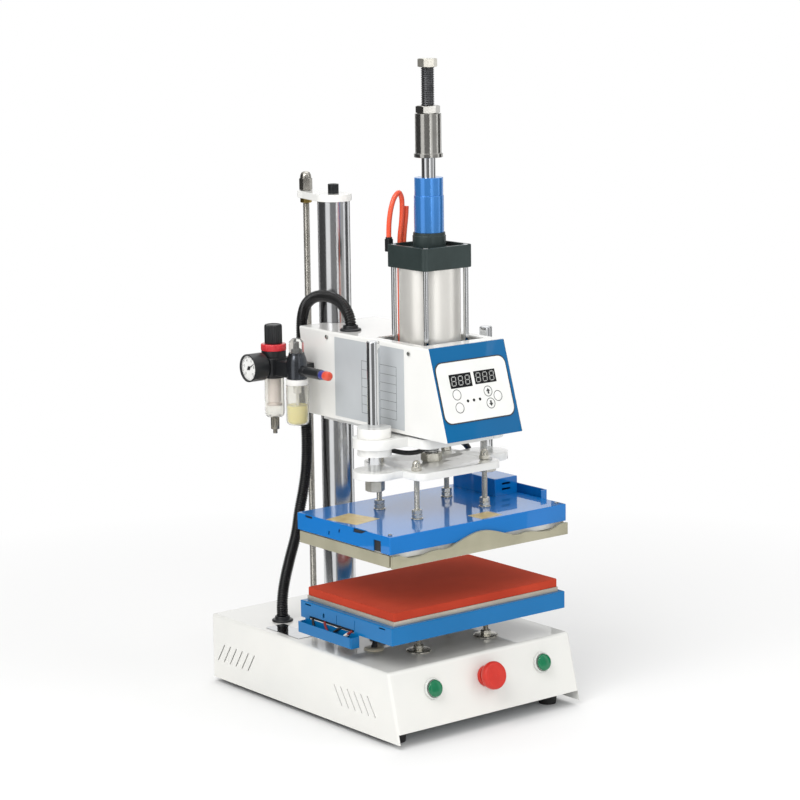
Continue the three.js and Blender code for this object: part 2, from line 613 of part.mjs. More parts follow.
function armCover() {
  const half = arm.halfWidth;
  const [low, high] = [armSide(arm.bottom), armSide(arm.top)];
  const body = sideProfile([[low.front, arm.bottom], [low.rear, arm.bottom], [high.rear, arm.top],
    [high.front, arm.top]], -half, half);
  const inner = armSide(arm.top - arm.sheet);
  const dip = armSide(arm.bottom - clear.overrun);
  const hollow = sideProfile([
    [dip.front - clear.overrun, arm.bottom - clear.overrun], [dip.rear - arm.sheet, arm.bottom - clear.overrun],
    [inner.rear - arm.sheet, arm.top - arm.sheet], [inner.front - clear.overrun, arm.top - arm.sheet],
  ], -half + arm.sheet, half - arm.sheet);
  const topEdge = slab(-half + arm.sheet, half - arm.sheet, high.front - clear.overrun,
    high.front + arm.panelThick + clear.seat, arm.top - arm.sheet - clear.overrun, arm.top + clear.overrun);
  const window0 = slab(-arm.hole, arm.hole, pressY - arm.hole, pressY + arm.hole,
    arm.top - arm.sheet - clear.overrun, arm.top + clear.overrun);
  const rearGap = slab(-half + arm.rearStrip, half - arm.rearStrip, columnY - 2 * arm.notch,
    columnY + arm.notch, arm.bottom - clear.overrun, arm.top - arm.sheet);
  const through = (radius, x, y, sides) => rod(radius, arm.top - arm.sheet - clear.overrun,
    arm.top + clear.overrun, sides, x, y);
  const notch = through(arm.notch, 0, columnY, facets.large);
  const end = conduitRoute[conduitRoute.length - 1];
  const glandHole = through(gland.stemRadius + clear.seat, end[0], end[1], facets.medium);
  return cut(body, hollow, topEdge, window0, rearGap, notch, glandHole);
}

const panelLean = Math.atan2(arm.frontBottom - arm.frontTop, arm.top - arm.bottom);
function controlPanel() {
  const half = arm.halfWidth - arm.sheet - clear.seat;
  const [low, high] = [armSide(arm.bottom), armSide(arm.top)];
  const depth = arm.panelThick / Math.cos(panelLean);
  return sideProfile([[low.front, arm.bottom], [low.front + depth, arm.bottom], [high.front + depth, arm.top],
    [high.front, arm.top]], -half, half);
}

function membranePad() {
  return plate(roundedRect(membrane.width / 2, membrane.height / 2, membrane.corner),
    clear.seat, clear.seat + membrane.thick);
}

// Cross-shaped plate with a round ear at each guide post
function crossPlate(cross, z0, z1) {
  const middle = plate(roundedRect(cross.crossX, cross.halfCross, cross.cornerRadius), z0, z1);
  const ears = signs.map((s) => rod(cross.earRadius, z0, z1, facets.large, s * bush.postX, 0));
  const half = cross.earRadius - cross.waist;
  return join(middle, slab(-bush.postX, bush.postX, -half, half, z0, z1), ...ears);
}

function armCasting() {
  const gap = columnY - pressY;
  const c = casting;
  const body = join(
    crossPlate(c, c.plateBottom, c.plateTop),
    slab(-c.spineHalf, c.spineHalf, cylinder.capHalf + c.spineGap, gap, c.plateBottom, c.spineTop),
    slab(-c.spineHalf, c.spineHalf, gap - c.ringRadius, gap, c.ringBottom, c.ringTop),
    rod(c.ringRadius, c.ringBottom, c.ringTop, facets.large, 0, gap),
    slab(-c.lugHalf, c.lugHalf, gap, gap + screw.behind, c.lugBottom, c.lugTop),
    rod(c.lugRadius, c.lugBottom, c.lugTop, facets.medium, 0, gap + screw.behind),
  );
  const bores = [
    rod(column.radius + clear.slide, c.plateBottom - clear.overrun, c.ringTop + clear.overrun, facets.large, 0,
      gap),
    rod(screw.radius + screw.room, c.lugBottom - clear.overrun, c.lugTop + clear.overrun, facets.bolt, 0,
      gap + screw.behind),
    rod(ram.rodRadius + c.boreRoom, c.plateBottom - clear.overrun, c.plateTop + clear.overrun, facets.medium),
    ...signs.map((s) => rod(bush.radius + clear.slide, c.plateBottom - clear.overrun,
      c.plateTop + clear.overrun, facets.medium, s * bush.postX, 0)),
  ];
  return cut(body, ...bores);
}

function guideBush() {
  const [z0, z1] = [casting.plateBottom, casting.plateTop];
  const bore = post.radius + clear.slide;
  return turned([
    [bore, z0 - bush.below], [bush.flangeRadius, z0 - bush.below], [bush.flangeRadius, z0], [bush.radius, z0],
    [bush.radius, z1], [bush.flangeRadius, z1], [bush.flangeRadius, z1 + bush.above], [bore, z1 + bush.above],
    [bore, z0 - bush.below],
  ]);
}

// Cylinder: the lower cap carries the four tie rods, the upper cap carries the rod gland
function cappedSquare(z0, z1) {
  const h = cylinder.capHalf;
  const c = cylinder.capChamfer;
  return plate(outline([[-h + c, -h], [h - c, -h], [h, -h + c], [h, h - c], [h - c, h], [-h + c, h],
    [-h, h - c], [-h, -h + c]]), z0, z1);
}

const tiePlaces = corners({ halfX: cylinder.tieOff, halfY: cylinder.tieOff });
function lowerCap() {
  const z0 = casting.plateTop;
  const nutLow = capTop - cylinder.sink;
  return cut(join(cappedSquare(z0, z0 + cylinder.lowerThick), ...tiePlaces.flatMap(([x, y]) => [
    rod(cylinder.tieRadius, z0, nutLow + cylinder.tieNut, facets.bolt, x, y),
    hexNut(cylinder.tieFlats, nutLow, nutLow + cylinder.tieNut, x, y),
  ])),
    rod(ram.rodRadius + casting.boreRoom, z0 - clear.overrun, z0 + cylinder.lowerThick + clear.overrun));
}

function barrelTube() {
  const [z0, z1] = [casting.plateTop + cylinder.lowerThick, cylinder.upperBottom];
  return cut(rod(cylinder.barrelRadius, z0, z1, facets.large),
    rod(cylinder.bore, z0 - clear.overrun, z1 + clear.overrun, facets.large));
}

function upperCap() {
  const z0 = cylinder.upperBottom;
  const body = join(cappedSquare(z0, capTop), rod(cylinder.collarRadius, capTop, collarTop, facets.large));
  return cut(body, rod(ram.rodRadius + casting.boreRoom, z0 - clear.overrun, collarTop + clear.overrun),
    ...tiePlaces.flatMap(([x, y]) => [
      rod(cylinder.tieRadius + clear.slide, z0 - clear.overrun, capTop + clear.overrun, facets.bolt, x, y),
      rod(cylinder.sinkRadius, capTop - cylinder.sink, capTop + clear.overrun, facets.small, x, y),
    ]));
}

function strokeBumper() {
  const bore = ram.rodRadius + casting.boreRoom;
  const step = bumperTop - bumper.neckHeight;
  return turned([[bore, collarTop], [bumper.radius, collarTop], [bumper.radius, step],
    [bumper.neckRadius, step], [bumper.neckRadius, bumperTop], [bore, bumperTop], [bore, collarTop]]);
}

function pistonRod() {
  const low = ramPlate.top - ramPlate.thick;
  const pistonTop = cylinder.upperBottom - ram.pistonDown;
  return join(
    rod(ram.studRadius, low - ram.lowNut, ramPlate.top + clear.seat),
    hexNut(ram.endFlats, low - ram.lowNut, low), hexNut(ram.endFlats, ramPlate.top, ramPlate.top + ram.endNut),
    rod(ram.rodRadius, ramPlate.top, ram.threadFrom), rod(ram.threadRadius, ram.threadFrom, ram.top),
    rod(ram.pistonRadius, pistonTop - ram.pistonThick, pistonTop, facets.large),
    hexNut(ram.topFlats, ram.top - ram.topNut, ram.top),
  );
}

function stopSleeve() {
  const bore = ram.rodRadius + clear.slide;
  const flange = sleeveBottom + sleeve.flangeThick;
  const top = sleeveBottom + sleeve.height;
  const body = turned([[bore, sleeveBottom], [sleeve.flangeRadius, sleeveBottom], [sleeve.flangeRadius, flange],
    [sleeve.radius, flange], [sleeve.radius, top], [bore, top], [bore, sleeveBottom]]);
  return join(body, cut(hexNut(sleeve.flats, top, top + sleeve.nut), rod(bore, top - clear.overrun,
    top + sleeve.nut + clear.overrun)));
}

// Ram plate, posts and hangers
function ramPlateBody() {
  const [z0, z1] = [ramPlate.top - ramPlate.thick, ramPlate.top];
  const through = (radius, x, y) => rod(radius, z0 - clear.overrun, z1 + clear.overrun, facets.bolt, x, y);
  return cut(crossPlate(ramPlate, z0, z1),
    rod(ram.studRadius + clear.seat, z0 - clear.overrun, z1 + clear.overrun),
    ...signs.map((s) => through(post.studRadius + clear.seat, s * bush.postX, 0)),
    ...corners(hanger).map(([x, y]) => through(hanger.studRadius + clear.seat, x, y)));
}

function guidePost() {
  const low = ramPlate.top - ramPlate.thick;
  return join(
    rod(post.radius, ramPlate.top, post.top - post.cone), rod(post.radius, post.top - post.cone, post.top,
      facets.medium, 0, 0, post.radius - post.cone),
    rod(post.studRadius, low - post.washer - post.nut, ramPlate.top + clear.seat, facets.bolt),
    rod(post.washerRadius, low - post.washer, low, facets.medium),
    hexNut(post.flats, low - post.washer - post.nut, low - post.washer),
  );
}

function headHanger() {
  const low = ramPlate.top - ramPlate.thick;
  const corner = hanger.flats / Math.sqrt(3);
  const nutTop = head.top + hanger.washer + 2 * hanger.nut;
  const domeLow = ramPlate.top + hanger.nut;
  return join(
    rod(hanger.radius, block.top, low, facets.bolt),
    rod(hanger.studRadius, low - clear.seat, ramPlate.top + hanger.nut, facets.bolt),
    rod(hanger.washerRadius, head.top, head.top + hanger.washer, facets.small),
    hexNut(hanger.flats, head.top + hanger.washer, nutTop - hanger.nut),
    rod(corner, nutTop - hanger.nut, nutTop, facets.bolt, 0, 0, corner * domeShares.collar),
    hexNut(hanger.flats, ramPlate.top, domeLow),
    rod(corner * domeShares.bottom, domeLow, domeLow + hanger.dome, facets.bolt, 0, 0,
      corner * domeShares.top),
  );
}

// Upper heater: folded cover with a connection box, block with rails, sliding die plate
function headCover() {
  const [w, d] = [head.width / 2, head.depth / 2];
  const shell = cut(slab(-w, w, -d, d, head.bottom, head.top),
    slab(-w + head.sheet, w - head.sheet, -d + head.sheet, d - head.sheet, head.bottom - clear.overrun,
      head.top - head.sheet));
  const boxFront = -box.ahead;
  const junction = slab(box.left, box.right, boxFront, boxFront + box.back, head.top - head.sheet,
    head.top + box.height);
  const boxInside = slab(box.left + box.wall, box.right - box.wall, boxFront + box.wall,
    boxFront + box.back - box.wall, head.bottom, head.top + box.height - box.wall);
  const slots = signs.map((s) => {
    const z = head.top + box.height / 2 + s * box.slotPitch / 2;
    const x = (box.left + box.right) / 2;
    return slab(x - box.slotWidth / 2, x + box.slotWidth / 2, boxFront - clear.overrun,
      boxFront + box.wall + clear.overrun, z - box.slotHeight / 2, z + box.slotHeight / 2);
  });
  const bracket = cut(slab(w - head.sheet, w + sideRail.out, -sideRail.front, sideRail.back, sideRail.bottom,
    sideRail.top),
    slab(w, w + sideRail.out - sideRail.wall, -sideRail.front + sideRail.wall, sideRail.back - sideRail.wall,
      sideRail.bottom + sideRail.wall, sideRail.top + clear.overrun),
    slab(w - 2 * head.sheet, w, -sideRail.front - clear.overrun, sideRail.back + clear.overrun, head.top,
      sideRail.top + clear.overrun));
  const holes = corners(hanger).map(([x, y]) => rod(hanger.radius + clear.seat,
    head.top - head.sheet - clear.overrun, head.top + clear.overrun, facets.bolt, x, y));
  return join(cut(join(cut(shell, ...holes), junction), boxInside, ...slots), bracket);
}

function heaterBlock() {
  const [hx, d] = [block.halfX, block.depth / 2];
  const inner = rail.halfX - rail.web;
  const rails = signs.flatMap((s) => {
    const [a, b, c] = [s * rail.halfX, s * inner, s * (inner - rail.foot)];
    return [
      slab(Math.min(a, b), Math.max(a, b), -d, d, rail.bottom, rail.bottom + rail.height),
      slab(Math.min(b, c), Math.max(b, c), -d, d, rail.bottom, rail.bottom + rail.footThick),
    ];
  });
  return join(slab(-hx, hx, -d, d, block.bottom, block.top), ...rails);
}

const drawerBottom = rail.bottom + rail.footThick + clear.seat;
function dieDrawer() {
  const inner = rail.halfX - rail.web - clear.seat;
  const d = block.depth / 2;
  const top = Math.min(drawerBottom + drawer.plateThick, block.bottom - clear.seat);
  const lipShape = new THREE.Shape();
  const q = drawer;
  const low = rail.bottom;
  lipShape.moveTo(-q.halfX, low);
  lipShape.lineTo(q.halfX, low);
  lipShape.lineTo(q.halfX, low + q.end);
  lipShape.lineTo(q.endX, low + q.end);
  lipShape.splineThru([[q.dipX, q.dip], [q.shoulderX, q.shoulder], [q.saddleX, q.saddle],
    [(q.foot + q.hump) / 2, (q.saddle + q.centre) / 2], [q.hump / 2, q.crown], [-q.hump / 2, q.crown],
    [-(q.foot + q.hump) / 2, (q.saddle + q.centre) / 2], [-q.saddleX, q.saddle], [-q.shoulderX, q.shoulder],
    [-q.dipX, q.dip], [-q.endX, q.end]].map(([x, h]) => new THREE.Vector2(x, low + h)));
  lipShape.lineTo(-q.halfX, low + q.end);
  const back = -head.depth / 2 - clear.seat;
  const lip = frontProfile(lipShape, back - q.lip, back);
  return join(slab(-inner, inner, back - q.lip / 2, d, drawerBottom, top), lip);
}

// Filter-regulator and lubricator
function frlBody() {
  const f = frl;
  const gap = lubY - regY;
  const wallX = -arm.halfWidth - clear.seat - f.x;
  const midZ = (f.blockBottom + f.blockTop) / 2;
  const along = (radius, y0, y1, z, sides = facets.medium) => {
    const bar = new THREE.CylinderGeometry(radius, radius, y1 - y0, sides);
    return toSolid(bar.translate(0, (y0 + y1) / 2, z));
  };
  const reachOut = gauge.face + gauge.depth + clear.seat - f.x;
  const boss = slab(reachOut, -f.bodyRadius / 2, -gauge.bossRadius, gauge.bossRadius,
    gauge.z - gauge.bossRadius, gauge.z + gauge.bossRadius);
  const body = join(
    rod(f.bodyRadius, f.bodyBottom, f.bodyTop, facets.medium),
    rod(f.ringRadius, f.bodyTop, f.bodyTop + f.ringThick - clear.seat, facets.medium),
    slab(-f.blockHalf, f.blockHalf, -f.blockHalf, f.blockHalf, f.blockBottom, f.blockTop),
    slab(-f.linkHalf, f.linkHalf, gap, 0, f.blockBottom, f.linkTop),
    rod(f.lubRadius, f.lubBottom, f.lubTop, facets.medium, 0, gap),
    rod(f.domeRadius, f.lubTop, f.domeTop - f.domeRadius / 2, facets.medium, 0, gap),
    rod(f.domeRadius, f.domeTop - f.domeRadius / 2, f.domeTop, facets.medium, 0, gap, f.domeRadius / 2),
    slab(0, wallX, gap / 2 - f.bracketHalf, gap / 2 + f.bracketHalf, midZ - f.bracketThick / 2,
      midZ + f.bracketThick / 2),
    along(f.portRadius, 0, f.blockHalf + f.portLength, midZ),
    along(f.fittingRadius, gap - f.fittingLength, gap, midZ),
    along(f.plugRadius, gap - f.fittingLength - f.plugLength, gap - f.fittingLength + clear.overrun, midZ),
    rod(f.stemRadius, f.bodyTop, f.bodyTop + f.ringThick + f.stemLength, facets.bolt),
    boss,
  );
  const portEnd = f.blockHalf + f.portLength + clear.overrun;
  return cut(body, along(f.portBore, f.blockHalf, portEnd, midZ, facets.bolt));
}

function regulatorKnob() {
  return turned([[knob.bore, 0], [knob.radius, 0], [knob.radius, knob.height - knob.top],
    [knob.radius - knob.top, knob.height], [0, knob.height], [0, knob.boreDepth], [knob.bore, knob.boreDepth],
    [knob.bore, 0]]);
}

// Drawn with +Z out of the dial
function gaugeCase() {
  const g = gauge;
  return turned([[0, -g.depth], [g.radius - g.rim, -g.depth], [g.radius, -g.depth + g.rim], [g.radius, 0],
    [g.radius - g.rim, 0], [g.radius - g.rim, -g.recess], [g.pinRadius, -g.recess],
    [g.pinRadius, -g.recess + clear.seat + needle.thick], [0, -g.recess + clear.seat + needle.thick]],
  facets.large);
}

function gaugeNeedle() {
  const shape = outline([[-needle.tail, -needle.half], [needle.length, -needle.tip],
    [needle.length, needle.tip], [-needle.tail, needle.half]]);
  const body = join(plate(shape, 0, needle.thick), rod(needle.hub, 0, needle.thick, facets.bolt));
  const eye = rod(gauge.pinRadius + clear.seat, -clear.overrun, needle.thick + clear.overrun, facets.bolt);
  return cut(body, eye);
}

function filterBowl() {
  const b = bowl;
  const top = frl.bodyBottom - clear.seat;
  const shoulder = b.drainBottom + b.round;
  return turned([[0, b.drainBottom], [b.drainRadius / 2, b.drainBottom], [b.drainRadius / 2, shoulder],
    [b.drainRadius, shoulder], [b.drainRadius, b.filterBottom], [b.filterRadius - b.round, b.filterBottom],
    [b.filterRadius, b.filterBottom + b.round], [b.filterRadius, top], [0, top]]);
}

function lubricatorBowl() {
  const b = bowl;
  const top = frl.lubBottom - clear.seat;
  return turned([[0, b.lubBottom], [b.lubRadius - b.round, b.lubBottom], [b.lubRadius, b.lubBottom + b.round],
    [b.lubRadius, top], [0, top]]);
}

// Air tubes: one loops over from an elbow on the upper cap down to the valve, one is the open exhaust
function airTubes() {
  const rear = pressY + cylinder.capHalf;
  const r = tubing.radius;
  const y = rear + r + tubing.gap;
  const y2 = y + tubing.lap;
  const low = casting.spineTop + valve.height + clear.seat;
  const elbowTop = capTop + tubing.elbowAbove;
  const { elbowX, feedX, exhaustX } = tubing;
  const feed = [[elbowX, y, elbowTop], [elbowX, y, 690], [-33, y, 706], [-29, y, 726], [-22, y, 741],
    [-15, y, 746], [-10.5, y, 739], [-9.5, y, 724], [-11, y, 704], [-14, y, 684], [feedX, y, 660],
    [feedX, y, 560], [feedX, y, low]];
  const exhaust = [[-1, y2, 726], [-2, y2, 712], [-5, y2, 690], [-6.6, y2, 672], [exhaustX, y2, 640],
    [exhaustX, y2, low]];
  const half = r + tubing.fitting;
  const elbow = slab(elbowX - half, elbowX + half, rear + clear.seat, y + half, elbowTop - tubing.elbowHeight,
    elbowTop);
  const manifold = slab(feedX - half, exhaustX + half, y - half, y2 + half, low, low + tubing.manifoldHeight);
  return join(cord(feed, r, tubing.feedSteps), cord(exhaust, r, tubing.exhaustSteps), elbow, manifold);
}

// Cables under the arm
function sensorCable() {
  const z = casting.plateBottom - clear.seat;
  const p = pressY;
  return cord([[-28, p - 24, z], [-28, p - 24, z - 5], [-38, p - 22, z - 11], [-52, p - 14, z - 13],
    [-62, p + 2, z - 12], [-64, p + 22, z - 10], [-58, p + 36, z - 8], [-52, p + 43, z - 6],
    [-51, p + 45, z - 3], [-51, p + 45, z]], cable.thinRadius, cable.thinSteps);
}

function heaterCable() {
  const z = casting.plateBottom - clear.seat;
  const end = head.top + box.height + clear.seat;
  const p = pressY;
  return cord([[52, p + 52, z], [52, p + 52, z - 6], [66, p + 50, z - 14], [84, p + 48, z - 20],
    [100, p + 46, z - 29], [110, p + 48, z - 41], [116, p + 55, z - 53], [121, p + 63, z - 64],
    [124, p + 67, end + 8], [124, p + 67, end]], cable.radius, cable.steps);
}

// Cabinet and what stands in it
add(whole, "base_housing", cabinet(), whitePaint());
add(whole, "base_floor", cabinetFloor(), finish(0x8f9294, 0.5, 1));
const footPlaces = [["front_left", -1, frontY + foot.inFront], ["front_right", 1, frontY + foot.inFront],
  ["rear_left", -1, backY - foot.inBack], ["rear_right", 1, backY - foot.inBack]];
for (const [place, side, y] of footPlaces) {
  add(whole, `foot_${place}`, rubberFoot(), blackRubber(), side * (base.width / 2 - foot.inX), y, 0);
}
add(whole, "power_supply", slab(-supply.width / 2, supply.width / 2, 0, supply.depth, 0, supply.height),
  finish(0xa8abac, 0.5, 1), 0, columnY - column.footRadius - supply.forward - supply.depth, floorTop);
add(whole, "mains_inlet", mainsInlet(), blackPlastic(), inlet.x, backY, inlet.z);

// Controls on the sloped front
const controlsY = deckFrontY - controls.down * Math.sin(lean);
const controlsZ = deck - controls.down * Math.cos(lean);
const onPanel = (x) => group(x, controlsY, controlsZ, Math.PI / 2 - lean);
for (const [place, x] of [["left", controls.leftX], ["right", controls.rightX]]) {
  const spot = onPanel(x);
  add(spot, `start_collar_${place}`, startCollar(), finish(0xd8dcd8, 0.3));
  add(spot, `start_button_${place}`, startButton(), finish(0x14704a, 0.25));
}
const stopSpot = onPanel(controls.stopX);
add(stopSpot, "estop_collar", stopCollar(), finish(0x3a3b3c, 0.4));
add(stopSpot, "estop_plunger", stopPlunger(), finish(0x77797b, 0.4));
add(stopSpot, "estop_head", stopHead(), finish(0xd0342c, 0.35));

// Column, top plate, height screw and conduit
add(whole, "column", columnTube(), chrome(), 0, columnY, 0);
add(whole, "top_plate", columnTopPlate(), whitePaint(), 0, columnY, column.top);
add(whole, "height_screw", heightScrew(), steel(), 0, screwY, 0);
add(whole, "conduit", ribbedHose(), blackRubber());
const [conduitStart, conduitEnd] = [conduitRoute[0], conduitRoute[conduitRoute.length - 1]];
add(whole, "conduit_gland_base", conduitGland(), blackPlastic(), conduitStart[0], conduitStart[1], deck);
add(whole, "conduit_gland_arm", conduitGland(), blackPlastic(), conduitEnd[0], conduitEnd[1], arm.top);

// Lower platen
const platen = group(0, pressY, 0);
const cornerNames = ["front_left", "front_right", "rear_left", "rear_right"];
corners(leg).forEach(([x, y], i) => add(platen, `bed_leg_${cornerNames[i]}`, bedLeg(), chrome(), x, y, 0));
add(platen, "bed_tray", bedTray(), bluePaint());
add(platen, "bed_plate", bedPlate(), aluminium());
add(platen, "silicone_pad", slab(-pad.width / 2, pad.width / 2, -pad.depth / 2, pad.depth / 2,
  bed.top + bed.plateThick, padTop), finish(0xa8402c, 0.75));

// Arm
const armGroup = group(0, pressY, 0);
add(whole, "arm_cover", armCover(), whitePaint());
add(whole, "control_panel", controlPanel(), bluePaint());
const panelSpot = group(membrane.shiftX, armSide(arm.top).front - membrane.drop * Math.sin(panelLean),
  arm.top - membrane.drop * Math.cos(panelLean), Math.PI / 2 - panelLean);
add(panelSpot, "keypad_membrane", membranePad(), finish(0xf4f4f2, 0.3));
add(armGroup, "arm_casting", armCasting(), whitePaint());
signs.forEach((s, i) => add(armGroup, `guide_bush_${["left", "right"][i]}`, guideBush(), whitePaint(),
  s * bush.postX, 0, 0));
add(armGroup, "cylinder_lower_cap", lowerCap(), finish(0x3e4346, 0.45, 0.6));
add(armGroup, "cylinder_barrel", barrelTube(), aluminium());
add(armGroup, "cylinder_upper_cap", upperCap(), finish(0x3e4346, 0.45, 0.6));
add(armGroup, "stroke_bumper", strokeBumper(), finish(0x2f7fd0, 0.3));
add(whole, "solenoid_valve", slab(-valve.width / 2, valve.width / 2, 0, valve.depth, 0, valve.height),
  finish(0x9aa0a4, 0.4, 1), valve.x, pressY + cylinder.capHalf + valve.ahead, casting.spineTop);
add(whole, "air_tubes", airTubes(), finish(0xe4573a, 0.3));
add(whole, "sensor_cable", sensorCable(), blackRubber());

// Air preparation
const frlGroup = group(frl.x, regY, 0);
add(frlGroup, "frl_body", frlBody(), blackPlastic());
add(frlGroup, "regulator_knob", regulatorKnob(), finish(0x222324, 0.5), 0, 0, frl.bodyTop + frl.ringThick);
add(frlGroup, "filter_bowl", filterBowl(), finish(0xeae6e2, 0.15));
add(frlGroup, "lubricator_bowl", lubricatorBowl(), finish(0xf2e9b8, 0.15), 0, lubY - regY, 0);
const dial = new THREE.Group();
dial.position.set(gauge.face, regY, gauge.z);
dial.rotation.set(0, -Math.PI / 2, 0);
whole.add(dial);
add(dial, "gauge_case", gaugeCase(), blackPlastic());
const pointer = add(dial, "gauge_needle", gaugeNeedle(), finish(0x111111, 0.5), 0, 0,
  -gauge.recess + clear.seat);
pointer.rotation.z = needle.angle;

// Ram
add(armGroup, "piston_rod", pistonRod(), chrome());
add(armGroup, "stop_sleeve", stopSleeve(), steel());
add(armGroup, "ram_plate", ramPlateBody(), whitePaint());
signs.forEach((s, i) => add(armGroup, `guide_post_${["left", "right"][i]}`, guidePost(), chrome(),
  s * bush.postX, 0, 0));
corners(hanger).forEach(([x, y], i) => add(armGroup, `hanger_${cornerNames[i]}`, headHanger(), chrome(),
  x, y, 0));
add(armGroup, "head_cover", headCover(), bluePaint());
add(armGroup, "heater_block", heaterBlock(), aluminium());
add(armGroup, "die_drawer", dieDrawer(), finish(0xa9a58c, 0.5, 0.6));
add(whole, "heater_cable", heaterCable(), blackRubber());

export default whole;
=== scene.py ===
# The looks of a pneumatic heat press, built round its packed construction.
# Metres, +Z up, and the operator stands at -Y.
import math

import bmesh
import bpy
from mathutils import Matrix, Vector


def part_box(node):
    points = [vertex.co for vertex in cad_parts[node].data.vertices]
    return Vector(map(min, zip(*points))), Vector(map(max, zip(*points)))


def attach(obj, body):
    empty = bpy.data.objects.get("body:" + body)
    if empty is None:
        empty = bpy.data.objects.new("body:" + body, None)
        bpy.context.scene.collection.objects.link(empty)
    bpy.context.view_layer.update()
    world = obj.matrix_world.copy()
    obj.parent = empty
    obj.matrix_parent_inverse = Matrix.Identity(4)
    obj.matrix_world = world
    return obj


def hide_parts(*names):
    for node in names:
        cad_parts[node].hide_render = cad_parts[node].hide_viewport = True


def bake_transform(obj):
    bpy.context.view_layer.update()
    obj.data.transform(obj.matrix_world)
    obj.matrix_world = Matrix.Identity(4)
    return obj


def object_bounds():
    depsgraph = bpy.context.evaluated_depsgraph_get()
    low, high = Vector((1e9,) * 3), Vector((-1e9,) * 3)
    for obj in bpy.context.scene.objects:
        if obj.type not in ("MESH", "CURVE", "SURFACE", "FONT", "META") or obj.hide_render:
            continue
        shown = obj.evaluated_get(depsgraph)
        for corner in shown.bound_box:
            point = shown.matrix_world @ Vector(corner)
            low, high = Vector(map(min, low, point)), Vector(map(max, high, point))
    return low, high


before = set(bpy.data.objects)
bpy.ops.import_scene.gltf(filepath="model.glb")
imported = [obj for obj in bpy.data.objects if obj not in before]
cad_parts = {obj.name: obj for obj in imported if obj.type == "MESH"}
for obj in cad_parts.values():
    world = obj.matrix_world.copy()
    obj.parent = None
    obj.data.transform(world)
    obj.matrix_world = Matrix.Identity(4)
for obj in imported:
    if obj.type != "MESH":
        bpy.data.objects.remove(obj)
cad_low, cad_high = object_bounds()
scene = bpy.context.scene
scene.view_settings.view_transform = "Standard"

# Camera. It stands to the operator's left, a little above the arm, as in the photograph.
# Its place and its turn come from the cabinet's corners and the upright axes of the machine.
camera_place = Vector((-2.2775, -2.9152, 1.1104))
camera_azimuth = math.radians(-38.19)
camera_elevation = math.radians(10.26)
camera_roll = math.radians(-0.75)
camera_lens = 116.83
sensor_width = 36.0


def towards(azimuth, elevation):
    """The direction from the object to a viewer at that azimuth and elevation."""
    flat = math.cos(elevation)
    return Vector((math.sin(azimuth) * flat, -math.cos(azimuth) * flat, math.sin(elevation)))


camera_back = towards(camera_azimuth, camera_elevation)
camera_right = Vector((math.cos(camera_azimuth), math.sin(camera_azimuth), 0))
camera_up = camera_back.cross(camera_right)
rolled_right = camera_right * math.cos(camera_roll) + camera_up * math.sin(camera_roll)
rolled_up = camera_up * math.cos(camera_roll) - camera_right * math.sin(camera_roll)
camera = bpy.data.objects.new("camera", bpy.data.cameras.new("camera"))
camera.data.sensor_width = sensor_width
camera.data.lens = camera_lens
camera_turn = Matrix((rolled_right, rolled_up, camera_back)).transposed().to_4x4()
camera.matrix_world = Matrix.Translation(camera_place) @ camera_turn
scene.collection.objects.link(camera)
scene.camera = camera


# Conduit. A black ribbed hose carries the wires from the cabinet over the back into the arm.
# It is blown from nylon, so it is dull with a soft sheen on each rib.
conduit_route = [
    (-0.112, 0.126, 0.1137), (-0.112, 0.126, 0.1222), (-0.112, 0.126, 0.1307), (-0.109, 0.1275, 0.148),
    (-0.1025, 0.13, 0.168), (-0.0899, 0.135, 0.195), (-0.074, 0.14, 0.229), (-0.064, 0.144, 0.262),
    (-0.054, 0.147, 0.292), (-0.046, 0.15, 0.322), (-0.042, 0.152, 0.365), (-0.042, 0.154, 0.403),
    (-0.043, 0.156, 0.46), (-0.044, 0.157, 0.52), (-0.044, 0.155, 0.548), (-0.044, 0.146, 0.568),
    (-0.044, 0.13, 0.58), (-0.043, 0.111, 0.586), (-0.042, 0.091, 0.5868), (-0.042, 0.0715, 0.584),
    (-0.0425, 0.056, 0.5775), (-0.043, 0.0452, 0.568), (-0.043, 0.0396, 0.5585), (-0.043, 0.0385, 0.5513),
]
conduit_crest = 0.0085
conduit_root = 0.0071
conduit_pitch = 0.0034
conduit_sides = 24
steps_of_a_rib = 8
path_spacing = 0.002


def node(tree, kind, values=None, **settings):
    """A new node, with its settings and the values of its inputs."""
    made = tree.nodes.new(kind)
    for label, value in settings.items():
        setattr(made, label, value)
    for label, value in (values or {}).items():
        made.inputs[label].default_value = value
    return made


def group_tree(name, kind, inputs, outputs):
    """A new node group with its named inputs and outputs, and its two end nodes."""
    tree = bpy.data.node_groups.new(name, kind)
    for label, socket, value in inputs:
        made = tree.interface.new_socket(label, in_out="INPUT", socket_type=socket)
        if value is not None:
            made.default_value = value
    for label, socket in outputs:
        tree.interface.new_socket(label, in_out="OUTPUT", socket_type=socket)
    return tree, tree.nodes.new("NodeGroupInput"), tree.nodes.new("NodeGroupOutput")


def geometry_tree(name, *inputs):
    """A Geometry Nodes group that takes geometry, its own inputs and a material."""
    return group_tree(name, "GeometryNodeTree", [
        ("Geometry", "NodeSocketGeometry", None), *inputs, ("Material", "NodeSocketMaterial", None),
    ], [("Geometry", "NodeSocketGeometry")])


def link_up(tree, *steps):
    """Links in a tree, each written as a node, its output, the node after it and that one's input."""
    for source, output, target, socket in steps:
        tree.links.new(source.outputs[output], target.inputs[socket])


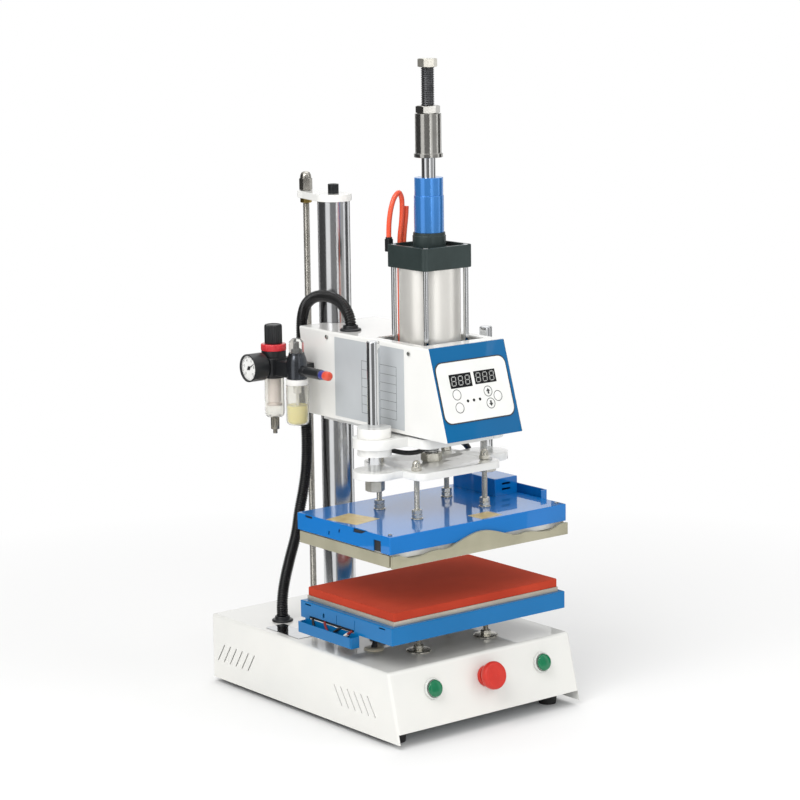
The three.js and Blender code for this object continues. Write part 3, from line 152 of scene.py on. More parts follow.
def surface_group():
    """Patches of a second colour, uneven gloss and a fine grain, stretched along the tool marks."""
    tree, start, end = group_tree("surface_play", "ShaderNodeTree", [
        ("Colour", "NodeSocketColor", (0.8, 0.8, 0.8, 1)),
        ("Second Colour", "NodeSocketColor", (0.7, 0.7, 0.7, 1)),
        ("Roughness", "NodeSocketFloat", 0.4), ("Spread", "NodeSocketFloat", 0.1),
        ("Patch Scale", "NodeSocketFloat", 20.0), ("Grain Scale", "NodeSocketFloat", 400.0),
        ("Stretch", "NodeSocketVector", (1.0, 1.0, 1.0)),
    ], [("Colour", "NodeSocketColor"), ("Roughness", "NodeSocketFloat"), ("Height", "NodeSocketFloat")])
    place = node(tree, "ShaderNodeTexCoord")
    drawn = node(tree, "ShaderNodeVectorMath", operation="MULTIPLY")
    patches = node(tree, "ShaderNodeTexNoise", {"Detail": 3.0, "Roughness": 0.6})
    grain = node(tree, "ShaderNodeTexNoise", {"Detail": 2.0})
    share = node(tree, "ShaderNodeMapRange", {"From Min": 0.35, "From Max": 0.7})
    tint = node(tree, "ShaderNodeMix", data_type="RGBA")
    uneven = node(tree, "ShaderNodeMath", operation="SUBTRACT")
    uneven.inputs[1].default_value = 0.5
    gloss = node(tree, "ShaderNodeMath", operation="MULTIPLY_ADD")
    link_up(tree, (place, "Object", patches, "Vector"), (place, "Object", drawn, 0),
            (start, "Stretch", drawn, 1), (drawn, 0, grain, "Vector"),
            (start, "Patch Scale", patches, "Scale"), (start, "Grain Scale", grain, "Scale"),
            (patches, "Fac", share, "Value"), (share, "Result", tint, "Factor"),
            (start, "Colour", tint, "A"), (start, "Second Colour", tint, "B"),
            (grain, "Fac", uneven, 0), (uneven, 0, gloss, 0), (start, "Spread", gloss, 1),
            (start, "Roughness", gloss, 2), (tint, "Result", end, "Colour"),
            (gloss, 0, end, "Roughness"), (grain, "Fac", end, "Height"))
    return tree


surface_play = surface_group()


def screen_colour(code):
    """A colour written as its six screen digits, as the light that it stands for."""
    parts = [int(code[i:i + 2], 16) / 255 for i in (0, 2, 4)]
    return (*[p / 12.92 if p < 0.04045 else ((p + 0.055) / 1.055) ** 2.4 for p in parts], 1)


def finish_of(name, colour, second, roughness, spread=0.06, metallic=0.0, patch=18.0, grain=500.0,
              depth=0.00002, stretch=(1, 1, 1), **sockets):
    """A solid finish: a shader whose colour, gloss and height play over the surface."""
    made = bpy.data.materials.new(name)
    made.use_nodes = True
    tree = made.node_tree
    shader = tree.nodes["Principled BSDF"]
    play = node(tree, "ShaderNodeGroup", node_tree=surface_play)
    for label, value in (("Colour", screen_colour(colour)), ("Second Colour", screen_colour(second)),
                         ("Roughness", roughness), ("Spread", spread), ("Patch Scale", patch),
                         ("Grain Scale", grain), ("Stretch", stretch)):
        play.inputs[label].default_value = value
    bump = node(tree, "ShaderNodeBump", {"Strength": 0.6, "Distance": depth})
    link_up(tree, (play, "Colour", shader, "Base Color"), (play, "Roughness", shader, "Roughness"),
            (play, "Height", bump, "Height"), (bump, "Normal", shader, "Normal"))
    shader.inputs["Metallic"].default_value = metallic
    for label, value in sockets.items():
        shader.inputs[label.replace("_", " ")].default_value = value
    return made


def between(a, b, start, stop, t):
    """The point that is reached at t, on the way from a at the start to b at the stop."""
    return (a * (stop - t) + b * (t - start)) / (stop - start)


def flowing(points):
    """A smooth curve through the points, with a point at each short step."""
    knots = [Vector(p) for p in points]
    knots = [2 * knots[0] - knots[1], *knots, 2 * knots[-1] - knots[-2]]
    path = []
    for a, b, c, d in zip(knots, knots[1:], knots[2:], knots[3:]):
        t1 = math.sqrt((b - a).length)
        t2 = t1 + math.sqrt((c - b).length)
        t3 = t2 + math.sqrt((d - c).length)
        steps = max(2, round((c - b).length / path_spacing))
        for step in range(steps):
            t = t1 + (t2 - t1) * step / steps
            middle = between(b, c, t1, t2, t)
            first = between(between(a, b, 0, t1, t), middle, 0, t2, t)
            last = between(middle, between(c, d, t2, t3, t), t1, t3, t)
            path.append(between(first, last, t1, t2, t))
    path.append(knots[-2])
    return path


def new_object(name, data):
    made = bpy.data.objects.new(name, data)
    scene.collection.objects.link(made)
    return made


def plain_mesh(carrier, name):
    """The plain mesh that an object's modifiers make. The object itself is thrown away."""
    bpy.context.view_layer.update()
    evaluated = carrier.evaluated_get(bpy.context.evaluated_depsgraph_get())
    made = bpy.data.meshes.new_from_object(evaluated)
    made.name = name
    bpy.data.objects.remove(carrier)
    return made


def grown(name, mesh, tree, values):
    """The plain mesh that a Geometry Nodes tree makes from a mesh, with its named inputs set."""
    carrier = new_object(name, mesh)
    modifier = carrier.modifiers.new(name, "NODES")
    modifier.node_group = tree
    for socket in tree.interface.items_tree:
        if socket.in_out == "INPUT" and socket.name in values:
            modifier[socket.identifier] = values[socket.name]
    return plain_mesh(carrier, name)


def finished_tree(tree, start, end, last):
    """A Geometry Nodes tree, ended after its last node with plain geometry and the named material."""
    whole = node(tree, "GeometryNodeRealizeInstances")
    paint = node(tree, "GeometryNodeSetMaterial")
    link_up(tree, (last, 0, whole, "Geometry"), (whole, "Geometry", paint, "Geometry"),
            (start, "Material", paint, "Material"), (paint, "Geometry", end, "Geometry"))
    return tree


def hose_tree():
    """Rings along a path, whose radius swings between the ribs' crests and roots."""
    tree, start, end = geometry_tree(
        "ribbed_hose", ("Crest", "NodeSocketFloat", conduit_crest), ("Root", "NodeSocketFloat", conduit_root),
        ("Pitch", "NodeSocketFloat", conduit_pitch), ("Sides", "NodeSocketInt", conduit_sides),
        ("Step", "NodeSocketFloat", conduit_pitch / steps_of_a_rib))
    line = node(tree, "GeometryNodeMeshToCurve")
    even = node(tree, "GeometryNodeResampleCurve", mode="LENGTH")
    ring = node(tree, "GeometryNodeCurvePrimitiveCircle", {"Radius": 1.0})
    along = node(tree, "GeometryNodeSplineParameter")
    turns = node(tree, "ShaderNodeMath", operation="DIVIDE")
    phase = node(tree, "ShaderNodeMath", operation="FRACT")
    wave = node(tree, "ShaderNodeMath", operation="PINGPONG")
    wave.inputs[1].default_value = 0.5
    swell = node(tree, "ShaderNodeMapRange", {"From Min": 0.08, "From Max": 0.3},
                 interpolation_type="SMOOTHSTEP")
    sweep = node(tree, "GeometryNodeCurveToMesh", {"Fill Caps": True})
    link_up(tree, (start, "Geometry", line, "Mesh"), (line, "Curve", even, "Curve"),
            (start, "Step", even, "Length"), (start, "Sides", ring, "Resolution"),
            (along, "Length", turns, 0), (start, "Pitch", turns, 1), (turns, 0, phase, 0),
            (phase, 0, wave, 0), (wave, 0, swell, "Value"), (start, "Root", swell, "To Min"),
            (start, "Crest", swell, "To Max"), (even, "Curve", sweep, "Curve"),
            (ring, "Curve", sweep, "Profile Curve"), (swell, "Result", sweep, "Scale"))
    return finished_tree(tree, start, end, sweep)


def polyline(name, path):
    """A mesh of edges from point to point of a path."""
    made = bpy.data.meshes.new(name)
    made.from_pydata(path, [(i, i + 1) for i in range(len(path) - 1)], [])
    return made


def fitted(name, mesh, material, body, slot, *stands_for):
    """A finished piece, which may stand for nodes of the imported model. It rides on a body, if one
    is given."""
    mesh.name = name
    mesh.materials.clear()
    mesh.materials.append(material)
    mesh.polygons.foreach_set("material_index", [0] * len(mesh.polygons))
    made = new_object(name, mesh)
    if stands_for:
        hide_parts(*stands_for)
    if body:
        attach(made, body)
    return made


black_nylon = finish_of("black_nylon", "0c0c0d", "131314", 0.2, 0.08, grain=900.0)
conduit_path = flowing(conduit_route)
conduit_mesh = grown("ribbed_conduit", polyline("conduit_line", conduit_path), hose_tree(),
                     {"Material": black_nylon})
conduit_mesh.shade_smooth()
ribbed_conduit = fitted("ribbed_conduit", conduit_mesh, black_nylon, None, "black_rubber", "conduit")
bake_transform(ribbed_conduit)


# Cables under the arm. A black rubber cable hangs from the casting to the heater's box. A thinner
# one loops back into the casting, and both are plain round cable.
thin_cable_route = [
    (-0.028, -0.11518, 0.3987), (-0.028, -0.11518, 0.3937), (-0.038, -0.11318, 0.3877),
    (-0.052, -0.10518, 0.3857), (-0.062, -0.08918, 0.3867), (-0.064, -0.06918, 0.3887),
    (-0.058, -0.05518, 0.3907), (-0.052, -0.04818, 0.3927), (-0.051, -0.04618, 0.3957),
    (-0.051, -0.04618, 0.3987),
]
thin_cable_radius = 0.0034
heater_cable_route = [
    (0.052, -0.03918, 0.3987), (0.052, -0.03918, 0.3927), (0.066, -0.04118, 0.3847),
    (0.084, -0.04318, 0.3787), (0.1, -0.04518, 0.3697), (0.11, -0.04318, 0.3577),
    (0.116, -0.03618, 0.3457), (0.121, -0.02818, 0.3347), (0.124, -0.02418, 0.3296),
    (0.124, -0.02418, 0.3216),
]
heater_cable_radius = 0.0043
tube_sides = 20


def tube_tree():
    """A round tube along a path, closed at both ends."""
    tree, start, end = geometry_tree("round_tube", ("Radius", "NodeSocketFloat", 0.004),
                                     ("Sides", "NodeSocketInt", tube_sides))
    line = node(tree, "GeometryNodeMeshToCurve")
    ring = node(tree, "GeometryNodeCurvePrimitiveCircle")
    sweep = node(tree, "GeometryNodeCurveToMesh", {"Fill Caps": True})
    link_up(tree, (start, "Geometry", line, "Mesh"), (start, "Sides", ring, "Resolution"),
            (start, "Radius", ring, "Radius"), (line, "Curve", sweep, "Curve"),
            (ring, "Curve", sweep, "Profile Curve"))
    return finished_tree(tree, start, end, sweep)


round_tube = tube_tree()


def shaded(mesh, angle):
    """The mesh, shaded as curved all over but at the edges that are sharper than the angle."""
    mesh.shade_smooth()
    mesh.set_sharp_from_angle(angle=math.radians(angle))
    return mesh


def tube_mesh(name, path, radius, material):
    """A plain round cable, wire or tube along a path."""
    line = polyline(name + "_line", path)
    return shaded(grown(name, line, round_tube, {"Radius": radius, "Material": material}), 50)


black_cable = finish_of("black_cable", "17181a", "202124", 0.38, 0.1, grain=700.0)
heater_cable_path = flowing(heater_cable_route)
heater_lead_mesh = tube_mesh("heater_lead", heater_cable_path, heater_cable_radius, black_cable)
heater_lead = fitted("heater_lead", heater_lead_mesh, black_cable, None, "black_rubber", "heater_cable")
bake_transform(heater_lead)
thin_cable_path = flowing(thin_cable_route)
sensor_lead_mesh = tube_mesh("sensor_lead", thin_cable_path, thin_cable_radius, black_cable)
sensor_lead = fitted("sensor_lead", sensor_lead_mesh, black_cable, "arm", "black_rubber", "sensor_cable")


# Air tubes. Orange polyurethane tube loops from an elbow on the top cap down to the valve, and
# a second length beside it is the valve's open exhaust.
tube_radius = 0.0036
feed_y = -0.042577
feed_route = [(x, feed_y, z) for x, z in (
    (-0.034, 0.682), (-0.034, 0.69), (-0.033, 0.706), (-0.029, 0.726), (-0.022, 0.741), (-0.015, 0.746),
    (-0.0105, 0.739), (-0.0095, 0.724), (-0.011, 0.704), (-0.014, 0.684), (-0.015, 0.66), (-0.015, 0.61),
    (-0.015, 0.56), (-0.015, 0.4923))]
exhaust_y = -0.041577
exhaust_route = [(x, exhaust_y, z) for x, z in (
    (-0.001, 0.726), (-0.002, 0.712), (-0.005, 0.69), (-0.0066, 0.672), (-0.007, 0.64), (-0.007, 0.56),
    (-0.007, 0.4923))]
orange_tube = finish_of("orange_tube", "ec5636", "f0653f", 0.22, 0.08, Coat_Weight=0.3, Coat_Roughness=0.15)
for tube_name, tube_route in (("air_feed_tube", feed_route), ("air_exhaust_tube", exhaust_route)):
    tube_path = flowing(tube_route)
    air_tube = fitted(tube_name, tube_mesh(tube_name, tube_path, tube_radius, orange_tube), orange_tube,
                      "arm", "orange_tube")


# Studio. A pale floor fades to the white surround, and large soft lamps light the press.
# Upright cards of several greys, which only reflections see, draw the stripes in the tubes.
world_light = 0.62
floor_colour = (0.9, 0.9, 0.895)
floor_radius = 9.0
floor_fade = (0.45, 1.3)
lamp_reach = 2.6
# Each lamp has its azimuth and elevation in degrees, its size and its power.
lamps = {"key": (-68, 42, 1.7, 40), "low": (-32, 7, 1.2, 9), "fill": (25, 28, 1.5, 12),
         "top": (130, 66, 1.6, 14)}
card_reach = 1.15
card_height = 1.7
# Each card has the azimuth of its middle, its width in degrees and its strength.
cards = [(-136, 68, 0.07), (-45, 48, 0.2), (18, 40, 0.4), (69, 32, 0.09), (118, 18, 0.1), (178, 14, 0.1)]


def seen_share(tree):
    """A node that gives 1 where the camera, a reflection or a clear piece looks, and 0 for light."""
    path = node(tree, "ShaderNodeLightPath")
    first = node(tree, "ShaderNodeMath", operation="MAXIMUM")
    both = node(tree, "ShaderNodeMath", operation="MAXIMUM")
    link_up(tree, (path, "Is Camera Ray", first, 0), (path, "Is Glossy Ray", first, 1),
            (first, 0, both, 0), (path, "Is Transmission Ray", both, 1))
    return both


surround = bpy.data.worlds.new("surround")
surround.use_nodes = True
scene.world = surround
sky = surround.node_tree.nodes["Background"]
sky_strength = node(surround.node_tree, "ShaderNodeMapRange", {"To Min": world_light, "To Max": 1.0})
link_up(surround.node_tree, (seen_share(surround.node_tree), 0, sky_strength, "Value"),
        (sky_strength, "Result", sky, "Strength"))
sky.inputs["Color"].default_value = (1, 1, 1, 1)

floor_shape = bmesh.new()
bmesh.ops.create_circle(floor_shape, cap_ends=True, radius=floor_radius, segments=96)
floor_mesh = bpy.data.meshes.new("floor")
floor_shape.to_mesh(floor_mesh)
floor_shape.free()
floor = new_object("floor", floor_mesh)
floor_finish = bpy.data.materials.new("pale_floor")
floor_finish.use_nodes = True
floor_tree = floor_finish.node_tree
floor_shader = floor_tree.nodes["Principled BSDF"]
floor_shader.inputs["Base Color"].default_value = (*floor_colour, 1)
floor_shader.inputs["Roughness"].default_value = 0.85
floor_shader.inputs["Specular IOR Level"].default_value = 0.1
floor_place = node(floor_tree, "ShaderNodeTexCoord")
floor_distance = node(floor_tree, "ShaderNodeVectorMath", operation="LENGTH")
floor_share = node(floor_tree, "ShaderNodeMapRange",
                   {"From Min": floor_fade[0], "From Max": floor_fade[1]})
floor_seen = node(floor_tree, "ShaderNodeMath", operation="MULTIPLY")
floor_white = node(floor_tree, "ShaderNodeEmission", {"Color": (1, 1, 1, 1), "Strength": 1.0})
floor_mix = node(floor_tree, "ShaderNodeMixShader")
link_up(floor_tree, (floor_place, "Object", floor_distance, 0),
        (floor_distance, "Value", floor_share, "Value"), (floor_share, "Result", floor_seen, 0),
        (seen_share(floor_tree), 0, floor_seen, 1), (floor_seen, 0, floor_mix, "Fac"),
        (floor_shader, 0, floor_mix, 1), (floor_white, 0, floor_mix, 2),
        (floor_mix, 0, floor_tree.nodes["Material Output"], "Surface"))
floor.data.materials.append(floor_finish)

centre = Vector((0, 0, (cad_low.z + cad_high.z) / 2))
for lamp_name, (lamp_azimuth, lamp_elevation, lamp_size, lamp_power) in lamps.items():
    light = bpy.data.lights.new(lamp_name, "AREA")
    light.size = lamp_size
    light.energy = lamp_power
    way = towards(math.radians(lamp_azimuth), math.radians(lamp_elevation))
    holder = new_object(lamp_name, light)
    holder.location = centre + way * lamp_reach
    holder.rotation_euler = way.to_track_quat("Z", "Y").to_euler()

for index, (card_angle, card_spread, card_level) in enumerate(cards):
    card_finish = bpy.data.materials.new(f"card_{index}")
    card_finish.use_nodes = True
    card_tree = card_finish.node_tree
    card_glow = node(card_tree, "ShaderNodeEmission", {"Color": (1, 1, 1, 1), "Strength": card_level})
    link_up(card_tree, (card_glow, 0, card_tree.nodes["Material Output"], "Surface"))
    way = towards(math.radians(card_angle), 0)
    across = Vector((way.y, -way.x, 0)) * card_reach * math.tan(math.radians(card_spread / 2))
    corners = [way * card_reach + across * s + Vector((0, 0, card_height * h))
               for s, h in ((-1, 0), (1, 0), (1, 1), (-1, 1))]
    card_mesh = bpy.data.meshes.new(f"card_{index}")
    card_mesh.from_pydata(corners, [], [(0, 1, 2, 3)])
    card_mesh.materials.append(card_finish)
    card = new_object(f"card_{index}", card_mesh)
    for sight in ("camera", "diffuse", "transmission", "shadow"):
        setattr(card, f"visible_{sight}", False)


# Cabinet. A box folded from steel sheet, painted glossy white, its front leaning back.
# Six slanted louvre slots are punched at each end of both sides.
cabinet_half = 0.167
cabinet_back = 0.231823
cabinet_front = -0.222177
cabinet_low = 0.008
deck_height = 0.1054
deck_front = -0.197177
cabinet_wall = 0.002
cabinet_bend = 0.0045
crease_angle = 32
front_gap_top = 0.022
vent_length = 0.0335
vent_width = 0.0022
vent_turn = math.asin(0.0184 / vent_length)
vent_height = 0.049
vent_pitch = 0.0154
vent_groups = [(0.208223, 1), (-0.081777, -1)]
vents_in_group = 6
inlet_x = (0.0662, 0.1138)
inlet_z = (0.0442, 0.0718)
column_y = 0.131823
screw_y = 0.199823
hose_foot = (-0.112, 0.126)
deck_holes = [(0, column_y, 0.0244), (*hose_foot, 0.0093), (0, screw_y, 0.0056)]
controls_height = Vector((0, -0.205626, 0.072468))
control_places = {"left": -0.095, "right": 0.106, "stop": 0.001}
control_hole = 0.0113
front_lean = math.atan2(deck_front - cabinet_front, deck_height - cabinet_low)
front_normal = Vector((0, -math.cos(front_lean), math.sin(front_lean)))


def mesh_of(shape, name):
    """The mesh of a shape, which is then thrown away."""
    mesh = bpy.data.meshes.new(name)
    shape.to_mesh(mesh)
    shape.free()
    return mesh


def bend_over(shape, edges, size, steps=5):
    """Rounds edges over, as a fold or a filed corner is."""
    bmesh.ops.bevel(shape, geom=edges, offset=size, offset_type="OFFSET", segments=steps, profile=0.5,
                    affect="EDGES", clamp_overlap=False)


def pulled(name, outline, low, high, bend=0.0, keep=None, steps=5):
    """A block whose (y, z) outline is pulled along X. Its edges are bent over, apart from those
    whose middle point the keep rule holds back."""
    shape = bmesh.new()
    near = [shape.verts.new((low, y, z)) for y, z in outline]
    far = [shape.verts.new((high, y, z)) for y, z in outline]
    shape.faces.new(near)
    shape.faces.new(far)
    for k in range(len(outline)):
        after = (k + 1) % len(outline)
        shape.faces.new((near[k], near[after], far[after], far[k]))
    bmesh.ops.recalc_face_normals(shape, faces=shape.faces)
    if bend:
        middles = [(edge, (edge.verts[0].co + edge.verts[1].co) / 2) for edge in shape.edges]
        bend_over(shape, [edge for edge, middle in middles if not (keep and keep(middle))], bend, steps)
    return mesh_of(shape, name)


def block(name, low, high, bend=0.0, keep=None, steps=4):
    """An upright block between two corners."""
    outline = [(low[1], low[2]), (low[1], high[2]), (high[1], high[2]), (high[1], low[2])]
    return pulled(name, outline, low[0], high[0], bend, keep, steps)


def below(level):
    """The rule that holds back the edges whose middle is lower than a level."""
    return lambda middle: middle.z < level


def turned(name, profile, place=(0, 0, 0), axis=(0, 0, 1), sides=64, flats=None, flutes=None):
    """A mesh turned from a profile of (radius, height) points round an axis at a place.
    A profile that isn't on the axis at both ends is closed on itself. Flats make it a hexagon, and
    flutes (count, depth) groove it lengthways."""
    shape = bmesh.new()
    rings = []
    for radius, height in profile:
        if radius < 0.000001:
            rings.append([shape.verts.new((0, 0, height))])
            continue
        ring = []
        for k in range(sides):
            angle = 2 * math.pi * k / sides
            reach = radius
            if flats:
                off = (angle + math.pi / 6) % (math.pi / 3) - math.pi / 6
                reach = min(radius, flats / 2 / math.cos(off))
            if flutes:
                reach -= flutes[1] * (0.5 - 0.5 * math.cos(flutes[0] * angle))
            ring.append(shape.verts.new((reach * math.cos(angle), reach * math.sin(angle), height)))
        rings.append(ring)
    if len(rings[0]) > 1 or len(rings[-1]) > 1:
        rings.append(rings[0])
    for low, high in zip(rings, rings[1:]):
        for k in range(sides):
            after = (k + 1) % sides
            around = [low[k % len(low)], low[after % len(low)], high[after % len(high)], high[k % len(high)]]
            face = list(dict.fromkeys(around))
            if len(face) > 2:
                shape.faces.new(face)
    bmesh.ops.recalc_face_normals(shape, faces=shape.faces)
    turn = Vector(axis).to_track_quat("Z", "Y").to_matrix().to_4x4()
    bmesh.ops.transform(shape, matrix=Matrix.Translation(place) @ turn, verts=shape.verts)
    return shaded(mesh_of(shape, name), crease_angle)


def round_bar(radius, low, high, hollow=0.0):
    """The profile of a plain round bar, or of a ring where it is hollow."""
    return [(hollow, low), (radius, low), (radius, high), (hollow, high)]


def bore(radius, low, high, place=(0, 0, 0), axis=(0, 0, 1), sides=48):
    """A plain round cutter."""
    return turned("bore", round_bar(radius, low, high), place, axis, sides)


def sheet_hole(radius, face, place=(0, 0, 0), sides=48):
    """A cutter for a round hole through a sheet whose upper face is at a height."""
    return bore(radius, face - 0.004, face + 0.002, place, sides=sides)


def set_out_tree():
    """The same piece at every point of a mesh, turned as the point's own angles say."""
    tree, start, end = geometry_tree("set_out", ("Piece", "NodeSocketObject", None),
                                     ("Scale", "NodeSocketFloat", 1.0))
    source = node(tree, "GeometryNodeObjectInfo")
    angles = node(tree, "GeometryNodeInputNamedAttribute", data_type="FLOAT_VECTOR")
    angles.inputs["Name"].default_value = "turn"
    turn = node(tree, "FunctionNodeEulerToRotation")
    places = node(tree, "GeometryNodeInstanceOnPoints")
    link_up(tree, (start, "Piece", source, "Object"), (start, "Geometry", places, "Points"),
            (source, "Geometry", places, "Instance"), (angles, "Attribute", turn, "Euler"),
            (turn, "Rotation", places, "Rotation"), (start, "Scale", places, "Scale"))
    return finished_tree(tree, start, end, places)


set_out = set_out_tree()


def repeated(name, mesh, places, material, turns=None):
    """One mesh with a copy of the given one at each place, turned by its own angles."""
    source = new_object(name + "_source", mesh)
    points = bpy.data.meshes.new(name + "_points")
    points.from_pydata(places, [], [])
    angles = points.attributes.new("turn", "FLOAT_VECTOR", "POINT")
    for point, turn in zip(angles.data, turns or [(0, 0, 0)] * len(places)):
        point.vector = turn
    made = grown(name, points, set_out, {"Piece": source, "Material": material})
    bpy.data.objects.remove(source)
    if "turn" in made.attributes:
        made.attributes.remove(made.attributes["turn"])
    return made


def worked(mesh, operation, tools):
    """The mesh with the tools cut out of it or built on to it. The tools are thrown away."""
    carrier = new_object(mesh.name + "_carrier", mesh)
    holders = []
    for tool in tools:
        holder = new_object("tool", tool)
        holders.append(holder)
        step = carrier.modifiers.new("step", "BOOLEAN")
        step.operation = operation
        step.solver = "EXACT"
        step.object = holder
    made = plain_mesh(carrier, mesh.name)
    for holder in holders:
        bpy.data.objects.remove(holder)
    return made


def cut_away(mesh, *cutters):
    """The mesh with the cutters taken out of it."""
    return worked(mesh, "DIFFERENCE", cutters)


def smoothed(mesh):
    """The mesh with its bends shaded as curves and its flat faces kept flat."""
    carrier = new_object(mesh.name + "_carrier", shaded(mesh, crease_angle))
    weighted = carrier.modifiers.new("weighted", "WEIGHTED_NORMAL")
    weighted.keep_sharp = True
    return plain_mesh(carrier, mesh.name)


def cabinet_outline(inset, low):
    """The cabinet's outline from the side, drawn in by an inset and ending below at a level."""
    top = deck_height - inset
    foot = cabinet_front + inset / math.cos(front_lean)
    fronts = [foot + (z - cabinet_low) * math.tan(front_lean) for z in (top, low)]
    return [(cabinet_back - inset, low), (cabinet_back - inset, top), (fronts[0], top), (fronts[1], low)]


def slot_outline(length, width, turn):
    """The (y, z) outline of a slot with round ends, turned from upright."""
    steps = 6
    half = length / 2 - width / 2
    points = []
    for k in range(2 * steps + 2):
        side = 1 if k <= steps else -1
        angle = math.pi * (k if side > 0 else k - 1) / steps
        y = width / 2 * math.cos(angle)
        z = width / 2 * math.sin(angle) + side * half
        points.append((y * math.cos(turn) - z * math.sin(turn), y * math.sin(turn) + z * math.cos(turn)))
    return points


def gloss_paint(name, colour, second, patch, specular, coat_index, coat_roughness=0.03):
    """A glossy enamel, a soft base colour under a clear coat."""
    return finish_of(name, colour, second, 0.3, 0.05, patch=patch, grain=260.0, depth=0.00001,
                     Specular_IOR_Level=specular, Coat_Weight=1.0, Coat_IOR=coat_index,
                     Coat_Roughness=coat_roughness)


white_gloss = gloss_paint("white_gloss", "efeeea", "e8e8e5", 6.0, 0.2, 1.35)
# The cabinet's white is the arm's white gloss made a few shades darker: painted shade, so the cabinet renders
# dimmer than the arm.
cabinet_white = gloss_paint("cabinet_white", "e8e7e2", "e1e1dd", 6.0, 0.2, 1.35)
cabinet_cuts = [
    pulled("inside", cabinet_outline(cabinet_wall, cabinet_low - 0.002), cabinet_wall - cabinet_half,
           cabinet_half - cabinet_wall, cabinet_bend - cabinet_wall, below(cabinet_low)),
    block("front_gap", (cabinet_wall - cabinet_half, cabinet_front - 0.002, cabinet_low - 0.002),
          (cabinet_half - cabinet_wall, deck_front + 0.002, front_gap_top)),
    block("inlet_hole", (inlet_x[0], cabinet_back - 0.004, inlet_z[0]),
          (inlet_x[1], cabinet_back + 0.002, inlet_z[1])),
]
for hole_x, hole_y, hole_radius in deck_holes:
    cabinet_cuts.append(sheet_hole(hole_radius, deck_height, (hole_x, hole_y, 0)))
for control_x in control_places.values():
    cabinet_cuts.append(bore(control_hole, -0.004, 0.004, (control_x, controls_height.y, controls_height.z),
                             front_normal))
for first_vent, vent_side in vent_groups:
    vent = pulled("vent", slot_outline(vent_length, vent_width, vent_side * vent_turn), -cabinet_half - 0.004,
                  cabinet_half + 0.004)
    vent_places = [(0, first_vent - k * vent_pitch, vent_height) for k in range(vents_in_group)]
    cabinet_cuts.append(repeated("vents", vent, vent_places, white_gloss))
cabinet_mesh = pulled("cabinet_sheet", cabinet_outline(0, cabinet_low), -cabinet_half, cabinet_half,
                      cabinet_bend, below(cabinet_low + 0.001))
fitted("cabinet_sheet", smoothed(cut_away(cabinet_mesh, *cabinet_cuts)), cabinet_white, "base", "white_paint",
       "base_housing")


# Deck fittings. In front of the hose a polished cover plate is stuck on the deck, and a cream
# grommet by the heated bed takes the bed's own lead through the sheet.
cover_plate_centre = (-0.1385, 0.068)
cover_plate_half = (0.0165, 0.041)
cover_plate_thick = 0.0008
grommet_place = (-0.1044, -0.0855, deck_height)
boot_lean = (0.25, 0.1, 1)
cream_nylon = finish_of("cream_nylon", "efe6cf", "e6dcc2", 0.34, 0.08, patch=60.0)
polished_steel = finish_of("polished_steel", "d3d5d6", "c4c6c8", 0.07, 0.04, metallic=1.0, patch=30.0,
                           grain=900.0, depth=0.000006)


def eased(profile, size):
    """A profile whose corners, apart from its two ends, are rounded off."""
    steps = 3
    points = [Vector(p) for p in profile]
    result = [tuple(points[0])]
    for before, corner, after in zip(points, points[1:], points[2:]):
        back = before - corner
        ahead = after - corner
        if back.angle(ahead) > math.radians(165):
            result.append(tuple(corner))
            continue
        room = min(size, 0.45 * back.length, 0.45 * ahead.length)
        first = corner + back.normalized() * room
        last = corner + ahead.normalized() * room
        for step in range(steps + 1):
            t = step / steps
            result.append(tuple(first.lerp(corner, t).lerp(corner.lerp(last, t), t)))
    result.append(tuple(points[-1]))
    return result


def eased_mesh(shape, name, width=0.0004, steps=2):
    """The mesh of a shape whose sharp edges are rounded off, and which is then thrown away."""
    mesh = mesh_of(shape, name)
    mesh.shade_smooth()
    carrier = new_object(name + "_carrier", mesh)
    bevel = carrier.modifiers.new("eased", "BEVEL")
    bevel.width = width
    bevel.segments = steps
    bevel.limit_method = "ANGLE"
    bevel.angle_limit = math.radians(31)
    bevel.harden_normals = True
    return plain_mesh(carrier, name)


def raised(shape, bottom, height):
    """Gives a flat face its thickness, upwards."""
    lifted = bmesh.ops.extrude_face_region(shape, geom=[bottom])["geom"]
    bmesh.ops.translate(shape, verts=[v for v in lifted if isinstance(v, bmesh.types.BMVert)],
                        vec=(0, 0, height))
    bmesh.ops.recalc_face_normals(shape, faces=shape.faces)


def rounded_block(name, half_x, half_y, low, high, corner_radius, place=(0, 0), edge=0.001):
    """A block with round corners in plan and eased edges, stood at a place."""
    shape = bmesh.new()
    steps = 8
    ring = []
    for index, (sx, sy) in enumerate(((1, 1), (-1, 1), (-1, -1), (1, -1))):
        for step in range(steps + 1):
            angle = math.pi / 2 * (index + step / steps)
            ring.append(shape.verts.new((
                place[0] + sx * (half_x - corner_radius) + corner_radius * math.cos(angle),
                place[1] + sy * (half_y - corner_radius) + corner_radius * math.sin(angle), low)))
    raised(shape, shape.faces.new(ring[::-1]), high - low)
    return eased_mesh(shape, name, edge, 3)


cover_plate_mesh = rounded_block("deck_cover_plate", *cover_plate_half, deck_height,
                                 deck_height + cover_plate_thick, 0.0025, cover_plate_centre, 0.0002)
fitted("deck_cover_plate", cover_plate_mesh, polished_steel, "base", "chrome")
grommet_profile = eased([(0.0045, 0), (0.0145, 0), (0.0145, 0.0014), (0.0125, 0.003), (0.0075, 0.0034),
                         (0.0045, 0.0034)], 0.0006)
fitted("bed_grommet", turned("bed_grommet", grommet_profile, grommet_place), cream_nylon, "base",
       "pale_ring")
boot_profile = eased([(0, 0.0006), (0.0044, 0.0006), (0.0044, 0.005), (0.0036, 0.009), (0.0036, 0.03),
                      (0, 0.03)], 0.0005)
fitted("grommet_boot", turned("grommet_boot", boot_profile, grommet_place, boot_lean), black_cable, "base",
       "black_rubber")


